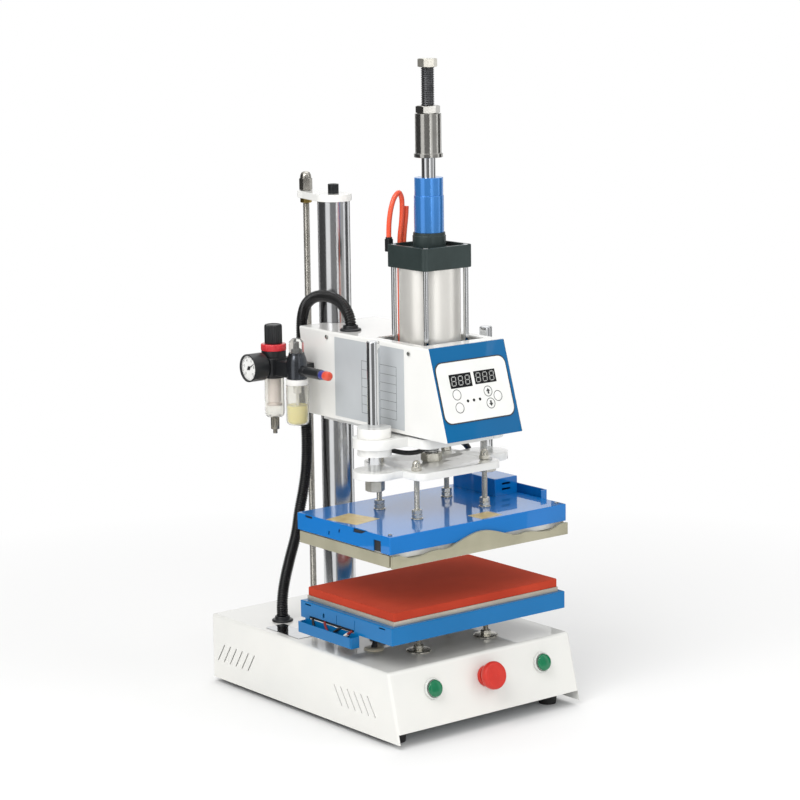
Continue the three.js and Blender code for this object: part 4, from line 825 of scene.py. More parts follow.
# Cabinet floor, feet, supply unit and mains inlet. The floor is zinc plated sheet and the feet are
# moulded rubber. The supply unit and the inlet are bought parts, seen from below and behind.
foot_places = [(-0.14, -0.180177), (0.14, -0.180177), (-0.14, 0.199823), (0.14, 0.199823)]
zinc = finish_of("zinc_plate", "9aa0a4", "b4b9bb", 0.4, 0.2, metallic=1.0, patch=60.0, grain=300.0)
black_rubber = finish_of("black_rubber", "1c1c1d", "262627", 0.75, 0.1, grain=800.0, depth=0.00004)
black_moulding = finish_of("black_moulding", "1b1c1e", "232527", 0.34, 0.1, grain=1200.0, depth=0.00003)
unit_steel = finish_of("unit_steel", "a7abad", "989c9e", 0.45, 0.2, metallic=1.0, patch=30.0, grain=500.0)


def merged_copy(node_name):
    """A node's loose triangles as whole faces, in a mesh of their own."""
    shape = bmesh.new()
    shape.from_mesh(bpy.data.objects[node_name].data)
    bmesh.ops.remove_doubles(shape, verts=shape.verts, dist=0.00001)
    bmesh.ops.dissolve_limit(shape, angle_limit=math.radians(0.6), verts=shape.verts, edges=shape.edges)
    return shape


def softened(node_name, width=0.0004, steps=2):
    """A copy of a node's mesh with its sharp edges rounded off."""
    return eased_mesh(merged_copy(node_name), node_name + "_softened", width, steps)


def painted(node_name, material):
    """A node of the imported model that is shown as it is, with a finish of its own."""
    shown = bpy.data.objects[node_name]
    shown.data.materials.clear()
    shown.data.materials.append(material)


foot_profile = eased([(0, 0.0028), (0.0052, 0.0028), (0.0056, 0), (0.0127, 0), (0.0142, 0.02),
                      (0.0142, 0.022), (0, 0.022)], 0.0012)
corner_names = ["front_left", "front_right", "rear_left", "rear_right"]
for foot_name, (foot_x, foot_y) in zip(corner_names, foot_places):
    fitted(f"rubber_foot_{foot_name}", turned("foot", foot_profile, (foot_x, foot_y, 0), sides=48),
           black_rubber, "base", "black_rubber", f"foot_{foot_name}")
painted("base_floor", zinc)
painted("power_supply", unit_steel)
fitted("inlet_socket", softened("mains_inlet", 0.0006), black_moulding, "base", "black_plastic",
       "mains_inlet")


# Start buttons. Two green domed buttons, pressed together, stand in pale screwed collars.
# A dark line parts each button from its collar.
green_button = finish_of("green_button", "0a6a44", "0c7a50", 0.14, 0.04, patch=80.0, Specular_IOR_Level=0.35,
                         Coat_Weight=0.4, Coat_Roughness=0.05)
pale_collar = finish_of("pale_collar", "d6d8d3", "c9ccc8", 0.26, 0.08, patch=60.0)
collar_profile = eased([(0.0063, -0.016), (0.0063, 0.001), (0.0123, 0.001), (0.0123, 0.0036),
                        (0.0134, 0.0042), (0.015, 0.0026), (0.015, 0.0003), (0.011, 0.0003),
                        (0.011, -0.02)], 0.0006)
button_profile = eased([(0, -0.01), (0.006, -0.01), (0.006, 0.0053), (0.0119, 0.0053), (0.0121, 0.0072),
                        (0.0106, 0.0092), (0.0078, 0.0102), (0.004, 0.0108), (0, 0.011)], 0.0008)
for side in ("left", "right"):
    spot = (control_places[side], controls_height.y, controls_height.z)
    fitted(f"button_bezel_{side}", turned("bezel", collar_profile, spot, front_normal), pale_collar, "base",
           "pale_ring", f"start_collar_{side}")
    fitted(f"green_dome_{side}", turned("dome", button_profile, spot, front_normal), green_button,
           f"start_{side}", "green_button", f"start_button_{side}")


# Emergency stop. A red mushroom head latches when it is struck and turns to let go.
# Its collar is screwed to the sheet, and its head has a raised rim.
stop_place = (control_places["stop"], controls_height.y, controls_height.z)
stop_red = finish_of("stop_red", "cc352a", "c22f26", 0.34, 0.06, patch=70.0, grain=900.0,
                     Specular_IOR_Level=0.35)
dark_moulding = finish_of("dark_moulding", "3c3e41", "46484b", 0.42, 0.08, grain=900.0)
stop_collar_profile = eased([(0.0093, -0.02), (0.0093, 0.0058), (0.0148, 0.0058), (0.015, 0.0003),
                             (0.011, 0.0003), (0.011, -0.024)], 0.0006)
stop_plunger_profile = eased([(0, -0.014), (0.009, -0.014), (0.009, 0.011), (0.005, 0.011), (0.005, 0.0173),
                              (0, 0.0173)], 0.0004)
stop_head_profile = eased([(0.0053, 0.0179), (0.0053, 0.0113), (0.0168, 0.0113), (0.0188, 0.0135),
                           (0.02, 0.017), (0.02, 0.0212), (0.0182, 0.0246), (0.0165, 0.0253),
                           (0.0145, 0.0249), (0.008, 0.0256), (0, 0.0258), (0, 0.0179)], 0.0011)
fitted("stop_collar", turned("stop_collar", stop_collar_profile, stop_place, front_normal), stop_red,
       "base", "red_button", "estop_collar")
fitted("stop_stem", turned("stop_stem", stop_plunger_profile, stop_place, front_normal), dark_moulding,
       "estop_push_body", "dark_grey_plastic", "estop_plunger")
fitted("stop_mushroom", turned("stop_mushroom", stop_head_profile, stop_place, front_normal), stop_red,
       "estop_twist_body", "red_button", "estop_head")


# Column. A hard chromed steel tube stands on a flange on the cabinet floor, and the arm is clamped
# to it. A painted plate ties its top to the height screw and is held by one socket head screw.
column_top = 0.721
plate_thick = 0.0105
column_chrome = finish_of("column_chrome", "cfd0d2", "dcddde", 0.17, 0.06, metallic=1.0, patch=9.0,
                          grain=900.0, depth=0.000006, stretch=(1, 1, 0.05))
black_screw = finish_of("black_screw", "26282a", "333537", 0.36, 0.12, metallic=0.6, patch=120.0)
column_profile = eased([(0.019, 0.025), (0.046, 0.025), (0.046, 0.037), (0.024, 0.037),
                        (0.024, column_top), (0.0053, column_top), (0.0053, 0.709), (0.019, 0.701)], 0.0008)
fitted("chromed_column", turned("chromed_column", column_profile, (0, column_y, 0), sides=128),
       column_chrome, "base", "chrome", "column")


def plate_between(name, ends, low, high):
    """A plate whose outline runs round two circles (x, y, radius), with eased edges."""
    steps = 24
    (x0, y0, r0), (x1, y1, r1) = ends
    gap = math.hypot(x1 - x0, y1 - y0)
    facing = math.atan2(y1 - y0, x1 - x0)
    open_angle = math.acos((r0 - r1) / gap)
    shape = bmesh.new()
    ring = []
    for centre_x, centre_y, radius, first, last in (
            (x0, y0, r0, facing + open_angle, facing + 2 * math.pi - open_angle),
            (x1, y1, r1, facing - open_angle, facing + open_angle)):
        for step in range(steps + 1):
            angle = first + (last - first) * step / steps
            point = (centre_x + radius * math.cos(angle), centre_y + radius * math.sin(angle), low)
            ring.append(shape.verts.new(point))
    raised(shape, shape.faces.new(ring), high - low)
    return eased_mesh(shape, name, 0.0008, 3)


top_plate_mesh = plate_between("column_top_plate", ((0, column_y, 0.027), (0, screw_y, 0.013)), column_top,
                               column_top + plate_thick)
fitted("column_top_plate", top_plate_mesh, white_gloss, "base", "white_paint", "top_plate")
screw_head_profile = eased([(0, -0.012), (0.005, -0.012), (0.005, 0.0105), (0.008, 0.0105),
                            (0.008, 0.0245), (0.0046, 0.0245)], 0.0006)
screw_head_profile += [(0.0046, 0.0185), (0, 0.0182)]
fitted("column_socket_screw", turned("column_socket_screw", screw_head_profile, (0, column_y, column_top),
                                     sides=72), black_screw, "base", "white_paint")


# Height screw. A trapezoid threaded spindle behind the column lifts and lowers the arm. An acorn
# nut tops it, a brass nut runs under the plate, and its thread passes the lug of the casting.
spindle_low = 0.037
spindle_radius = 0.005
spindle_pitch = 0.002
spindle_depth = 0.0007
rolled_steel = finish_of("rolled_steel", "b8b5ae", "a3a098", 0.26, 0.16, metallic=1.0, patch=40.0,
                         grain=700.0, stretch=(1, 1, 0.2))
brass = finish_of("brass", "b9a05c", "a68d4c", 0.3, 0.12, metallic=1.0, patch=90.0)


def threaded(name, radius, depth, pitch, low, high, place, sides=20, rows=6):
    """A rod with a thread that winds round it, closed at both ends."""
    shape = bmesh.new()
    count = round((high - low) / pitch * rows)
    rings = []
    for row in range(count + 1):
        z = low + (high - low) * row / count
        ring = []
        for k in range(sides):
            angle = 2 * math.pi * k / sides
            phase = (z / pitch - k / sides) % 1
            bite = min(1, max(0, (abs(phase - 0.5) - 0.12) / 0.22))
            reach = radius - depth * (1 - bite)
            ring.append(shape.verts.new((place[0] + reach * math.cos(angle),
                                         place[1] + reach * math.sin(angle), z)))
        rings.append(ring)
    for lower, upper in zip(rings, rings[1:]):
        for k in range(sides):
            after = (k + 1) % sides
            shape.faces.new((lower[k], lower[after], upper[after], upper[k]))
    shape.faces.new(rings[0][::-1])
    shape.faces.new(rings[-1])
    return shaded(mesh_of(shape, name), 60)


def nut_profile(flats, low, high, chamfer=0.0008, hole=0.0):
    """The profile of a hexagon nut, to be turned with its flats."""
    corner = flats / math.sqrt(3)
    inner = flats / 2 * 0.97
    steps = 4
    rise = [(inner + (corner - inner) * i / steps, low + chamfer * i / steps) for i in range(steps + 1)]
    fall = [(radius, high + low - z) for radius, z in rise[::-1]]
    return [(hole, low), *rise, *fall, (hole, high)]


def nut_mesh(name, flats, low, high, place=(0, 0, 0), chamfer=0.0008, hole=0.0):
    """A hexagon nut with its corners chamfered."""
    profile = nut_profile(flats, low, high, chamfer, hole)
    return turned(name, profile, place, sides=72, flats=flats)


def joined(name, *meshes):
    """One mesh of several, which are thrown away."""
    shape = bmesh.new()
    for mesh in meshes:
        shape.from_mesh(mesh)
        bpy.data.meshes.remove(mesh)
    return mesh_of(shape, name)


spindle_place = (0, screw_y, 0)
under_plate = column_top - 0.0003
over_plate = column_top + plate_thick + 0.0003
acorn_profile = nut_profile(0.017, over_plate, over_plate + 0.018)[:-2]
acorn_profile += [(0.0084, over_plate + 0.0175), (0.0084, over_plate + 0.0195), (0.0078, over_plate + 0.0229),
                  (0.0062, over_plate + 0.0259), (0.0036, over_plate + 0.0275), (0, over_plate + 0.028)]
fitted("height_spindle", joined(
    "height_spindle",
    threaded("spindle", spindle_radius, spindle_depth, spindle_pitch, spindle_low, over_plate + 0.002,
             spindle_place),
    turned("acorn", acorn_profile, spindle_place, sides=72, flats=0.017)), rolled_steel, "screw",
       "plated_steel", "height_screw")
fitted("spindle_brass_nut", nut_mesh("brass_nut", 0.015, under_plate - 0.0075, under_plate, spindle_place,
                                     hole=0.0052), brass, "screw", "plated_steel")


# Conduit glands. One moulded gland at each end clamps the hose: a flange on the sheet, a
# ribbed collar round the hose, and a threaded stem through the sheet.
gland_places = {"base": (*hose_foot, deck_height), "arm": (-0.043, 0.0385, 0.543)}
gland_profile = eased([(0.0087, 0.004), (0.0058, 0.003), (0.0058, -0.008), (0.009, -0.008), (0.009, 0),
                       (0.0155, 0), (0.0155, 0.0022), (0.0138, 0.0034), (0.0113, 0.0036), (0.011, 0.0072),
                       (0.0104, 0.008), (0.0087, 0.008)], 0.0005)
for body, place in gland_places.items():
    fitted(f"hose_gland_{body}", turned("gland", gland_profile, place, sides=72), black_moulding, body,
           "black_plastic", f"conduit_gland_{body}")


# Legs of the heated bed. Four threaded rods with a broad foot disc each carry the bed on nuts.
# They are zinc plated and set the bed level.
press_y = -0.091177
leg_corners = [(sx * 0.062, press_y + sy * 0.043, 0) for sy in (-1, 1) for sx in (-1, 1)]
bright_zinc = finish_of("bright_zinc", "d6d3c9", "c9c6bb", 0.2, 0.06, metallic=0.8, patch=90.0, grain=600.0)
leg_mesh = joined(
    "leg",
    threaded("leg_rod", 0.004, 0.0006, 0.00125, deck_height, 0.1572, (0, 0), sides=20, rows=5),
    turned("leg_disc", eased([(0, 0.1054), (0.018, 0.1054), (0.018, 0.1068), (0.0167, 0.108), (0, 0.108)],
                             0.0005)),
    nut_mesh("leg_nut_low", 0.013, 0.108, 0.1145),
    nut_mesh("leg_nut_high", 0.013, 0.143, 0.1495))
fitted("bed_leg_set", repeated("bed_leg_set", leg_mesh, leg_corners, bright_zinc), bright_zinc, "base",
       "chrome", *[f"bed_leg_{name}" for name in corner_names])


# Heated bed. A blue painted sheet cover hugs an aluminium block, whose ground top plate carries
# the pad. The wires of its heater run in a folded channel on the left, which flaps of the cover make.
bed_half = 0.159
bed_reach = 0.1063
bed_low = 0.1429
bed_high = 0.1675
bed_sheet = 0.0015
bed_rim = 0.014
channel_out = 0.172
channel_y = (press_y - 0.03, press_y + 0.095)
channel_z = (0.1245, 0.1405)
channel_tab = 0.01
mouth_top = 0.148
bed_slits = [(-0.1822, -0.1682, 0.1625, 0.1645), (-0.0102, 0.0038, 0.1625, 0.1645),
             (-0.0712, -0.0702, 0.1475, 0.1615), (-0.1131, -0.1121, 0.1475, 0.1615)]
bed_oval = (-0.0402, 0.1545)
bed_block_half = 0.1565
bed_block_reach = 0.1035
bed_block_z = (0.1432, 0.162)
blue_gloss = gloss_paint("blue_gloss", "0768a2", "086eac", 5.0, 0.1, 1.25)
ground_aluminium = finish_of("ground_aluminium", "bcb4a6", "ada597", 0.42, 0.2, metallic=0.4, patch=14.0,
                             grain=500.0, stretch=(0.05, 1, 1))
cast_grey = finish_of("cast_grey", "2a2b2d", "343537", 0.6, 0.15, metallic=0.3, patch=30.0)


def above(level):
    """The rule that holds back the edges whose middle is higher than a level."""
    return lambda middle: middle.z > level


def press_block(name, half_x, half_y, low, high, bend=0.0, keep=None):
    """An upright block centred under the cylinder."""
    return block(name, (-half_x, press_y - half_y, low), (half_x, press_y + half_y, high), bend, keep)


def side_slit(half, depth, slit):
    """A cutter for a slit, written as its ends in Y and in Z, into a cover's left side."""
    near, far, low, high = slit
    return block("slit", (-half - 0.001, near, low), (depth - half, far, high))


def side_hole(half, length, width, turn, spot):
    """A cutter for a leaning hole with round ends at (y, z) in a cover's left side."""
    hole = pulled("hole", slot_outline(length, width, turn), -half - 0.002, 0.002 - half)
    hole.transform(Matrix.Translation((0, *spot)))
    return hole


bed_cuts = [
    press_block("inside", bed_half - bed_sheet, bed_reach - bed_sheet, bed_low - 0.002, bed_high - bed_sheet),
    press_block("window", bed_half - bed_rim, bed_reach - bed_rim, bed_high - 0.004, bed_high + 0.002),
    block("mouth", (-bed_half - 0.002, channel_y[0] + channel_tab, channel_z[1]),
          (0.002 - bed_half, channel_y[1] - channel_tab, mouth_top)),
    *[side_slit(bed_half, 0.002, slit) for slit in bed_slits],
    side_hole(bed_half, 0.0075, 0.0042, 0.12, bed_oval),
]
bed_mesh = cut_away(press_block("bed_cover", bed_half, bed_reach, bed_low, bed_high, 0.0014,
                                below(bed_low + 0.001)), *bed_cuts)
trough_mesh = cut_away(
    block("trough", (-channel_out, channel_y[0], channel_z[0]),
          (0.0005 - bed_half, channel_y[1], channel_z[1]), 0.0008, above(channel_z[1] - 0.001)),
    block("hollow", (bed_sheet - channel_out, channel_y[0] + bed_sheet, channel_z[0] + bed_sheet),
          (-bed_half - 0.0001, channel_y[1] - bed_sheet, channel_z[1] + 0.002)),
    block("corner_gap", (-channel_out - 0.001, channel_y[0] + 0.0016, channel_z[0] + 0.0012),
          (0.002 - channel_out, channel_y[0] + 0.0028, channel_z[1] + 0.002)))
tab_meshes = [block("tab", (-bed_half + 0.00005, start, channel_z[0] + 0.0005),
                    (bed_sheet - bed_half, start + channel_tab, bed_low + 0.002))
              for start in (channel_y[0], channel_y[1] - channel_tab)]
tab_meshes.append(block("inner_wall", (-bed_half + 0.0001, channel_y[0] + 0.0002, channel_z[0] + 0.0004),
                        (bed_sheet - bed_half - 0.0001, channel_y[1] - 0.0002, channel_z[1] + 0.0025)))
fitted("bed_cover", smoothed(joined("bed_cover", bed_mesh, trough_mesh, *tab_meshes)), blue_gloss, "base",
       "blue_paint", "bed_tray")
bed_heater = press_block("bed_heater", bed_block_half, bed_block_reach, *bed_block_z, 0.001)
fitted("bed_heater", smoothed(bed_heater), cast_grey, "base", "dark_aluminium")
fitted("bed_top_plate", softened("bed_plate", 0.0005, 3), ground_aluminium, "base", "aluminium",
       "bed_plate")


# Heater wires of the bed. A red glass silk wire with a white sleeve and a black wire leave the bed
# by the mouth in its side, lie in the channel and go back in.
bed_wire_routes = {
    "red": [(-0.1565, -0.04, 0.1455), (-0.1588, -0.0425, 0.1445), (-0.1612, -0.0475, 0.141),
            (-0.1628, -0.0535, 0.1362), (-0.1638, -0.0595, 0.1322), (-0.1645, -0.066, 0.1305),
            (-0.1645, -0.0725, 0.13), (-0.1642, -0.079, 0.1302), (-0.1636, -0.0855, 0.1318),
            (-0.1626, -0.0915, 0.1348), (-0.1612, -0.0972, 0.139), (-0.1592, -0.1022, 0.1428),
            (-0.1568, -0.1048, 0.145)],
    "black": [(-0.1565, -0.011, 0.1455), (-0.1588, -0.014, 0.1442), (-0.1615, -0.0185, 0.1405),
              (-0.1645, -0.024, 0.1352), (-0.1665, -0.03, 0.131), (-0.168, -0.037, 0.1293),
              (-0.1685, -0.045, 0.129), (-0.168, -0.053, 0.1293), (-0.1668, -0.061, 0.1312),
              (-0.1648, -0.068, 0.1352),
              (-0.1618, -0.0735, 0.1405), (-0.1588, -0.078, 0.1442), (-0.1565, -0.0805, 0.1455)],
}
bed_wire_radius = 0.0018
sleeve_radius = 0.0026
sleeve_share = (0.68, 0.9)
glass_silk = finish_of("glass_silk", "7d1f22", "92302e", 0.7, 0.1, grain=2400.0, depth=0.0001)
white_silk = finish_of("white_silk", "e6e4de", "d2cfc8", 0.75, 0.1, grain=2400.0, depth=0.0001)
red_wire_path = flowing(bed_wire_routes["red"])
sleeve_ends = [round(len(red_wire_path) * share) for share in sleeve_share]
sleeve_path = red_wire_path[sleeve_ends[0]:sleeve_ends[1]]
sleeve = fitted("wire_sleeve", tube_mesh("wire_sleeve", sleeve_path, sleeve_radius, white_silk),
                white_silk, "base", "white_membrane")
red_wire_mesh = tube_mesh("bed_wire_red", red_wire_path, bed_wire_radius, glass_silk)
red_wire = fitted("bed_wire_red", red_wire_mesh, glass_silk, "base", "red_silicone")
black_wire_path = flowing(bed_wire_routes["black"])
black_wire_mesh = tube_mesh("bed_wire_black", black_wire_path, bed_wire_radius, black_cable)
black_wire = fitted("bed_wire_black", black_wire_mesh, black_cable, "base", "black_rubber")


# Silicone pad. A sheet of red silicone rubber sponge lies on the plate and evens out the pressure.
# Its edges are knife cut, with the corners rubbed round, and heat has stained it in patches.
pad_low, pad_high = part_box("silicone_pad")
pad_corner = 0.003
pad_edge = 0.0012
red_silicone = finish_of("red_silicone", "ba412b", "aa3825", 0.8, 0.1, patch=9.0, grain=900.0,
                         depth=0.00004, Specular_IOR_Level=0.12, Sheen_Weight=0.7, Sheen_Roughness=0.35,
                         Sheen_Tint=screen_colour("d8664c"))
pad_mesh = rounded_block("silicone_sheet", *((pad_high - pad_low) / 2).xy, pad_low.z, pad_high.z,
                         pad_corner, (0, press_y), pad_edge)
pad = fitted("silicone_sheet", pad_mesh, red_silicone, "base", "red_silicone", "silicone_pad")


# Arm cover. Folded sheet, painted white, closes the arm's sides, back and top, with a square
# opening round the cylinder. A grey data plate, left blank but for its ruled lines, is stuck on.
arm_half = 0.07
arm_low = 0.4165
arm_high = 0.543
arm_front = (-0.210677, -0.171177)
arm_rear = (0.110823, 0.128823)
arm_wall = 0.002
arm_bend = 0.0028
arm_window = 0.0545
data_plate_y = (-0.119, 0.0415)
data_plate_z = (0.4215, 0.5365)
data_plate_thick = 0.0005
rule_stroke = 0.00025
rule_middle = (-0.062, 0.472)
rule_reach = (0.04, 0.0375)
rule_pitch = (0.0398, 0.0125)
rear_gap_half = 0.044
column_opening = 0.027
gland_opening = 0.0093
side_screw_places = [(-arm_half, 0.0595, 0.534), (-arm_half, -0.1303, 0.532)]


def arm_outline(inset, low, ahead):
    """The arm's outline from the side, drawn in at the back and the top, and ending ahead."""
    def at(ends, z):
        return ends[0] + (ends[1] - ends[0]) * (z - arm_low) / (arm_high - arm_low)

    top = arm_high - inset
    return [(at(arm_front, low) - ahead, low), (at(arm_rear, low) - inset, low),
            (at(arm_rear, top) - inset, top), (at(arm_front, top) - ahead, top)]


def arm_open(middle):
    """The arm's open edges, at the front and below."""
    share = (middle.z - arm_low) / (arm_high - arm_low)
    front = arm_front[0] + (arm_front[1] - arm_front[0]) * share
    return middle.z < arm_low + 0.0001 or middle.y < front + 0.001


arm_mesh = cut_away(
    pulled("arm_sheet", arm_outline(0, arm_low, 0), -arm_half, arm_half, arm_bend, arm_open),
    pulled("hollow", arm_outline(arm_wall, arm_low - 0.002, 0.002), arm_wall - arm_half, arm_half - arm_wall,
           arm_bend - arm_wall, arm_open),
    block("panel_seat", (arm_wall - arm_half, arm_front[1] - 0.002, arm_high - 0.004),
          (arm_half - arm_wall, arm_front[1] + 0.0033, arm_high + 0.002)),
    press_block("window", arm_window, arm_window, arm_high - 0.004, arm_high + 0.002),
    block("rear_gap", (-rear_gap_half, column_y - 2 * column_opening, arm_low - 0.002),
          (rear_gap_half, column_y + column_opening, arm_high - arm_wall)),
    sheet_hole(column_opening, arm_high, (0, column_y, 0), sides=96),
    sheet_hole(gland_opening, arm_high, (*gland_places["arm"][:2], 0)))
fitted("arm_sheet", smoothed(arm_mesh), white_gloss, "arm", "white_paint", "arm_cover")
plate_grey = finish_of("plate_grey", "bec2c4", "b3b7ba", 0.42, 0.1, patch=9.0, grain=700.0)
ink_grey = finish_of("ink_grey", "5c6064", "4e5256", 0.6, 0.08, patch=90.0)
data_plate = block("data_plate", (-arm_half - data_plate_thick, data_plate_y[0], data_plate_z[0]),
                   (-arm_half, data_plate_y[1], data_plate_z[1]), 0.0002, None, 1)
fitted("data_plate", smoothed(data_plate), plate_grey, "arm", "dark_aluminium")
rule_x = (-arm_half - data_plate_thick - 0.00012, -arm_half - data_plate_thick + 0.0001)
rule_line = block("rule_line", (rule_x[0], -rule_reach[0], -rule_stroke),
                  (rule_x[1], rule_reach[0], rule_stroke))
rule_places = [(0, rule_middle[0], rule_middle[1] + rule_pitch[1] * k) for k in range(-3, 4)]
upright_line = block("upright_line", (rule_x[0], -rule_stroke, -rule_reach[1]),
                     (rule_x[1], rule_stroke, rule_reach[1]))
upright_places = [(0, rule_middle[0] + rule_pitch[0] * k, rule_middle[1]) for k in (-1, 0, 1)]
fitted("data_plate_rules", joined("data_plate_rules", repeated("rules", rule_line, rule_places, ink_grey),
                                  repeated("uprights", upright_line, upright_places, ink_grey)), ink_grey,
       "arm", "dark_grey_plastic")
bright_steel = finish_of("bright_steel", "c6c6c2", "b2b2ae", 0.24, 0.12, metallic=1.0, patch=80.0)


def socket_head(name, radius, height, socket, place=(0, 0, 0), axis=(0, 0, 1)):
    """A round screw head with a socket in it, standing on a surface."""
    profile = eased([(0, 0.00005), (radius, 0.00005), (radius, height), (socket, height)], height * 0.4)
    return turned(name, profile + [(socket, height * 0.35), (0, height * 0.3)], place, axis, 32)


side_screw = socket_head("side_screw", 0.0032, 0.0019, 0.0014, axis=(-1, 0, 0))
screw_places = side_screw_places + [(-x, y, z) for x, y, z in side_screw_places]
screw_turns = [(0, 0, 0)] * 2 + [(0, 0, math.pi)] * 2
fitted("arm_side_screws", repeated("arm_side_screws", side_screw, screw_places, bright_steel, screw_turns),
       bright_steel, "arm", "chrome")


# Control panel. A thicker blue plate closes the sloped front and carries the keypad: a white
# membrane in a dark edged recess, two numeric displays, five keys and three lamps.
keypad_drop = 0.0645
keypad_half = (0.0623, 0.0422)
keypad_corner = 0.012
rim_width = 0.0016
film_top = 0.0013
film_sunk = film_top - 0.0001
windows = [(-0.023, 0.0152, 0.0195, 0.0098), (0.0211, 0.0160, 0.0192, 0.0092)]
digit_pitch = 0.0122
digit_half = (0.0036, 0.0031)
digit_stroke = 0.0013
digit_slant = 0.09
key_radius = 0.0076
key_places = [(-0.0343, -0.0038), (-0.0336, -0.0222), (0.0214, -0.0049), (0.0224, -0.0221), (0.0375, -0.0133)]
lamp_places = [(-0.0173, -0.0143), (-0.0064, -0.0143), (0.0045, -0.0142)]
panel_up = Vector((0, arm_front[1] - arm_front[0], arm_high - arm_low)).normalized()
panel_out = Vector((0, -panel_up.z, panel_up.y))
panel_spot = Vector((-0.0015, arm_front[1], arm_high)) - panel_up * keypad_drop
panel_turn = Matrix((Vector((1, 0, 0)), panel_up, panel_out)).transposed().to_4x4()
panel_frame = Matrix.Translation(panel_spot) @ panel_turn


def on_panel(name, mesh, finish, slot, *stands_for):
    """A finished piece, drawn flat with +Z out of the panel and moved to the panel."""
    mesh.transform(panel_frame)
    return fitted(name, mesh, finish, "arm", slot, *stands_for)


panel_blue = gloss_paint("panel_blue", "055e92", "07649a", 5.0, 0.1, 1.2, 0.05)
white_film = finish_of("white_film", "ecece9", "e4e5e2", 0.3, 0.06, patch=30.0)
display_black = finish_of("display_black", "121314", "191a1c", 0.4, 0.05, patch=50.0, Specular_IOR_Level=0.15)
digit_grey = finish_of("digit_grey", "a9aaa8", "9b9c9a", 0.5, 0.05, patch=50.0)
ink_black = finish_of("ink_black", "2b2c2e", "36373a", 0.55, 0.06, patch=90.0)
fitted("panel_plate", softened("control_panel", 0.0008, 3), panel_blue, "arm", "blue_paint",
       "control_panel")
rim_mesh = rounded_block("keypad_rim", keypad_half[0] + rim_width, keypad_half[1] + rim_width, 0.0001,
                         0.0007, keypad_corner + 0.001, edge=0.0002)
on_panel("keypad_rim", rim_mesh, ink_black, "black_plastic")
film_mesh = rounded_block("keypad_film", *keypad_half, 0.0002, film_top, keypad_corner, edge=0.0004)
on_panel("keypad_film", film_mesh, white_film, "white_membrane", "keypad_membrane")
window_meshes = [rounded_block("window", half_x, half_y, film_sunk, film_top + 0.0002, 0.0008, (x, y), 0.0001)
                 for x, y, half_x, half_y in windows]
on_panel("display_windows", joined("display_windows", *window_meshes), display_black, "black_plastic")
digit_across, digit_up = digit_half
segment = {"low": film_top + 0.0001, "high": film_top + 0.00028, "corner_radius": 0.0006, "edge": 0.00005}
bar = rounded_block("bar", digit_across - 0.0007, digit_stroke / 2, **segment)
post_bar = rounded_block("post_bar", digit_stroke / 2, digit_up - 0.0005, **segment)
bar_places = [(0, 2 * digit_up, 0), (0, 0, 0), (0, -2 * digit_up, 0)]
post_places = [(sx * digit_across, sy * digit_up, 0) for sx in (-1, 1) for sy in (-1, 1)]
digit_mesh = joined("digit", repeated("bars", bar, bar_places, digit_grey),
                    repeated("posts", post_bar, post_places, digit_grey))
slanting = Matrix.Identity(4)
slanting[0][1] = digit_slant
digit_mesh.transform(slanting)
digit_places = [(x + k * digit_pitch, y, 0) for x, y, half_x, half_y in windows for k in (-1, 0, 1)]
on_panel("display_digits", repeated("display_digits", digit_mesh, digit_places, digit_grey), digit_grey,
         "dark_grey_plastic")
flat_keys = [(x, y, 0) for x, y in key_places]
key_ring = turned("key_ring", round_bar(key_radius, film_sunk, film_top + 0.0001, key_radius - 0.0009),
                  sides=48)
key_dome = turned("key_dome", [(0, film_sunk), (key_radius - 0.0011, film_sunk),
                               (key_radius - 0.0012, film_top + 0.0001),
                               (key_radius - 0.0022, film_top + 0.0003), (0, film_top + 0.0004)], sides=48)
on_panel("key_rings", repeated("key_rings", key_ring, flat_keys, ink_black), ink_black, "black_plastic")
on_panel("key_domes", repeated("key_domes", key_dome, flat_keys, white_film), white_film, "white_membrane")
arrow_shape = bmesh.new()
arrow_points = [(0, 0.0042), (0.0036, 0), (0.0014, 0), (0.0014, -0.0038), (-0.0014, -0.0038), (-0.0014, 0),
                (-0.0036, 0)]
arrow_ring = [arrow_shape.verts.new((x, y, film_top + 0.0002)) for x, y in arrow_points]
raised(arrow_shape, arrow_shape.faces.new(arrow_ring), 0.0003)
arrow_mesh = mesh_of(arrow_shape, "arrow")
key_arrows = repeated("key_arrows", arrow_mesh, flat_keys[2:4], ink_black, [(0, 0, 0), (0, 0, math.pi)])
on_panel("key_arrows", key_arrows, ink_black, "black_plastic")
lamp_mesh = turned("lamp", [(0, film_sunk), (0.0021, film_sunk), (0.0021, film_top + 0.0002),
                            (0.0015, film_top + 0.0007), (0, film_top + 0.0009)], sides=24)
status_lamps = repeated("status_lamps", lamp_mesh, [(x, y, 0) for x, y in lamp_places], display_black)
on_panel("status_lamps", status_lamps, display_black, "dark_grey_plastic")


# Casting. The arm's working part: a plate with two ears, a spine, a clamp round the column and
# a lug for the height screw, cast in iron and painted white.
fitted("arm_iron", softened("arm_casting", 0.0012, 3), white_gloss, "arm", "white_paint", "arm_casting")


# Guide bushes. Flanged sleeves bolted into the casting's ears guide the two posts.
# They are turned steel, painted with the casting.
bush_x = 0.1025
bush_profile = eased([(0.0093, 0.4275), (0.0093, 0.3876), (0.024, 0.3876), (0.024, 0.399), (0.015, 0.399),
                      (0.015, 0.413), (0.024, 0.413), (0.024, 0.4275)], 0.0008)
for side, sign in (("left", -1), ("right", 1)):
    fitted(f"post_bush_{side}", turned("bush", bush_profile, (sign * bush_x, press_y, 0), sides=96),
           white_gloss, "arm", "white_paint", f"guide_bush_{side}")
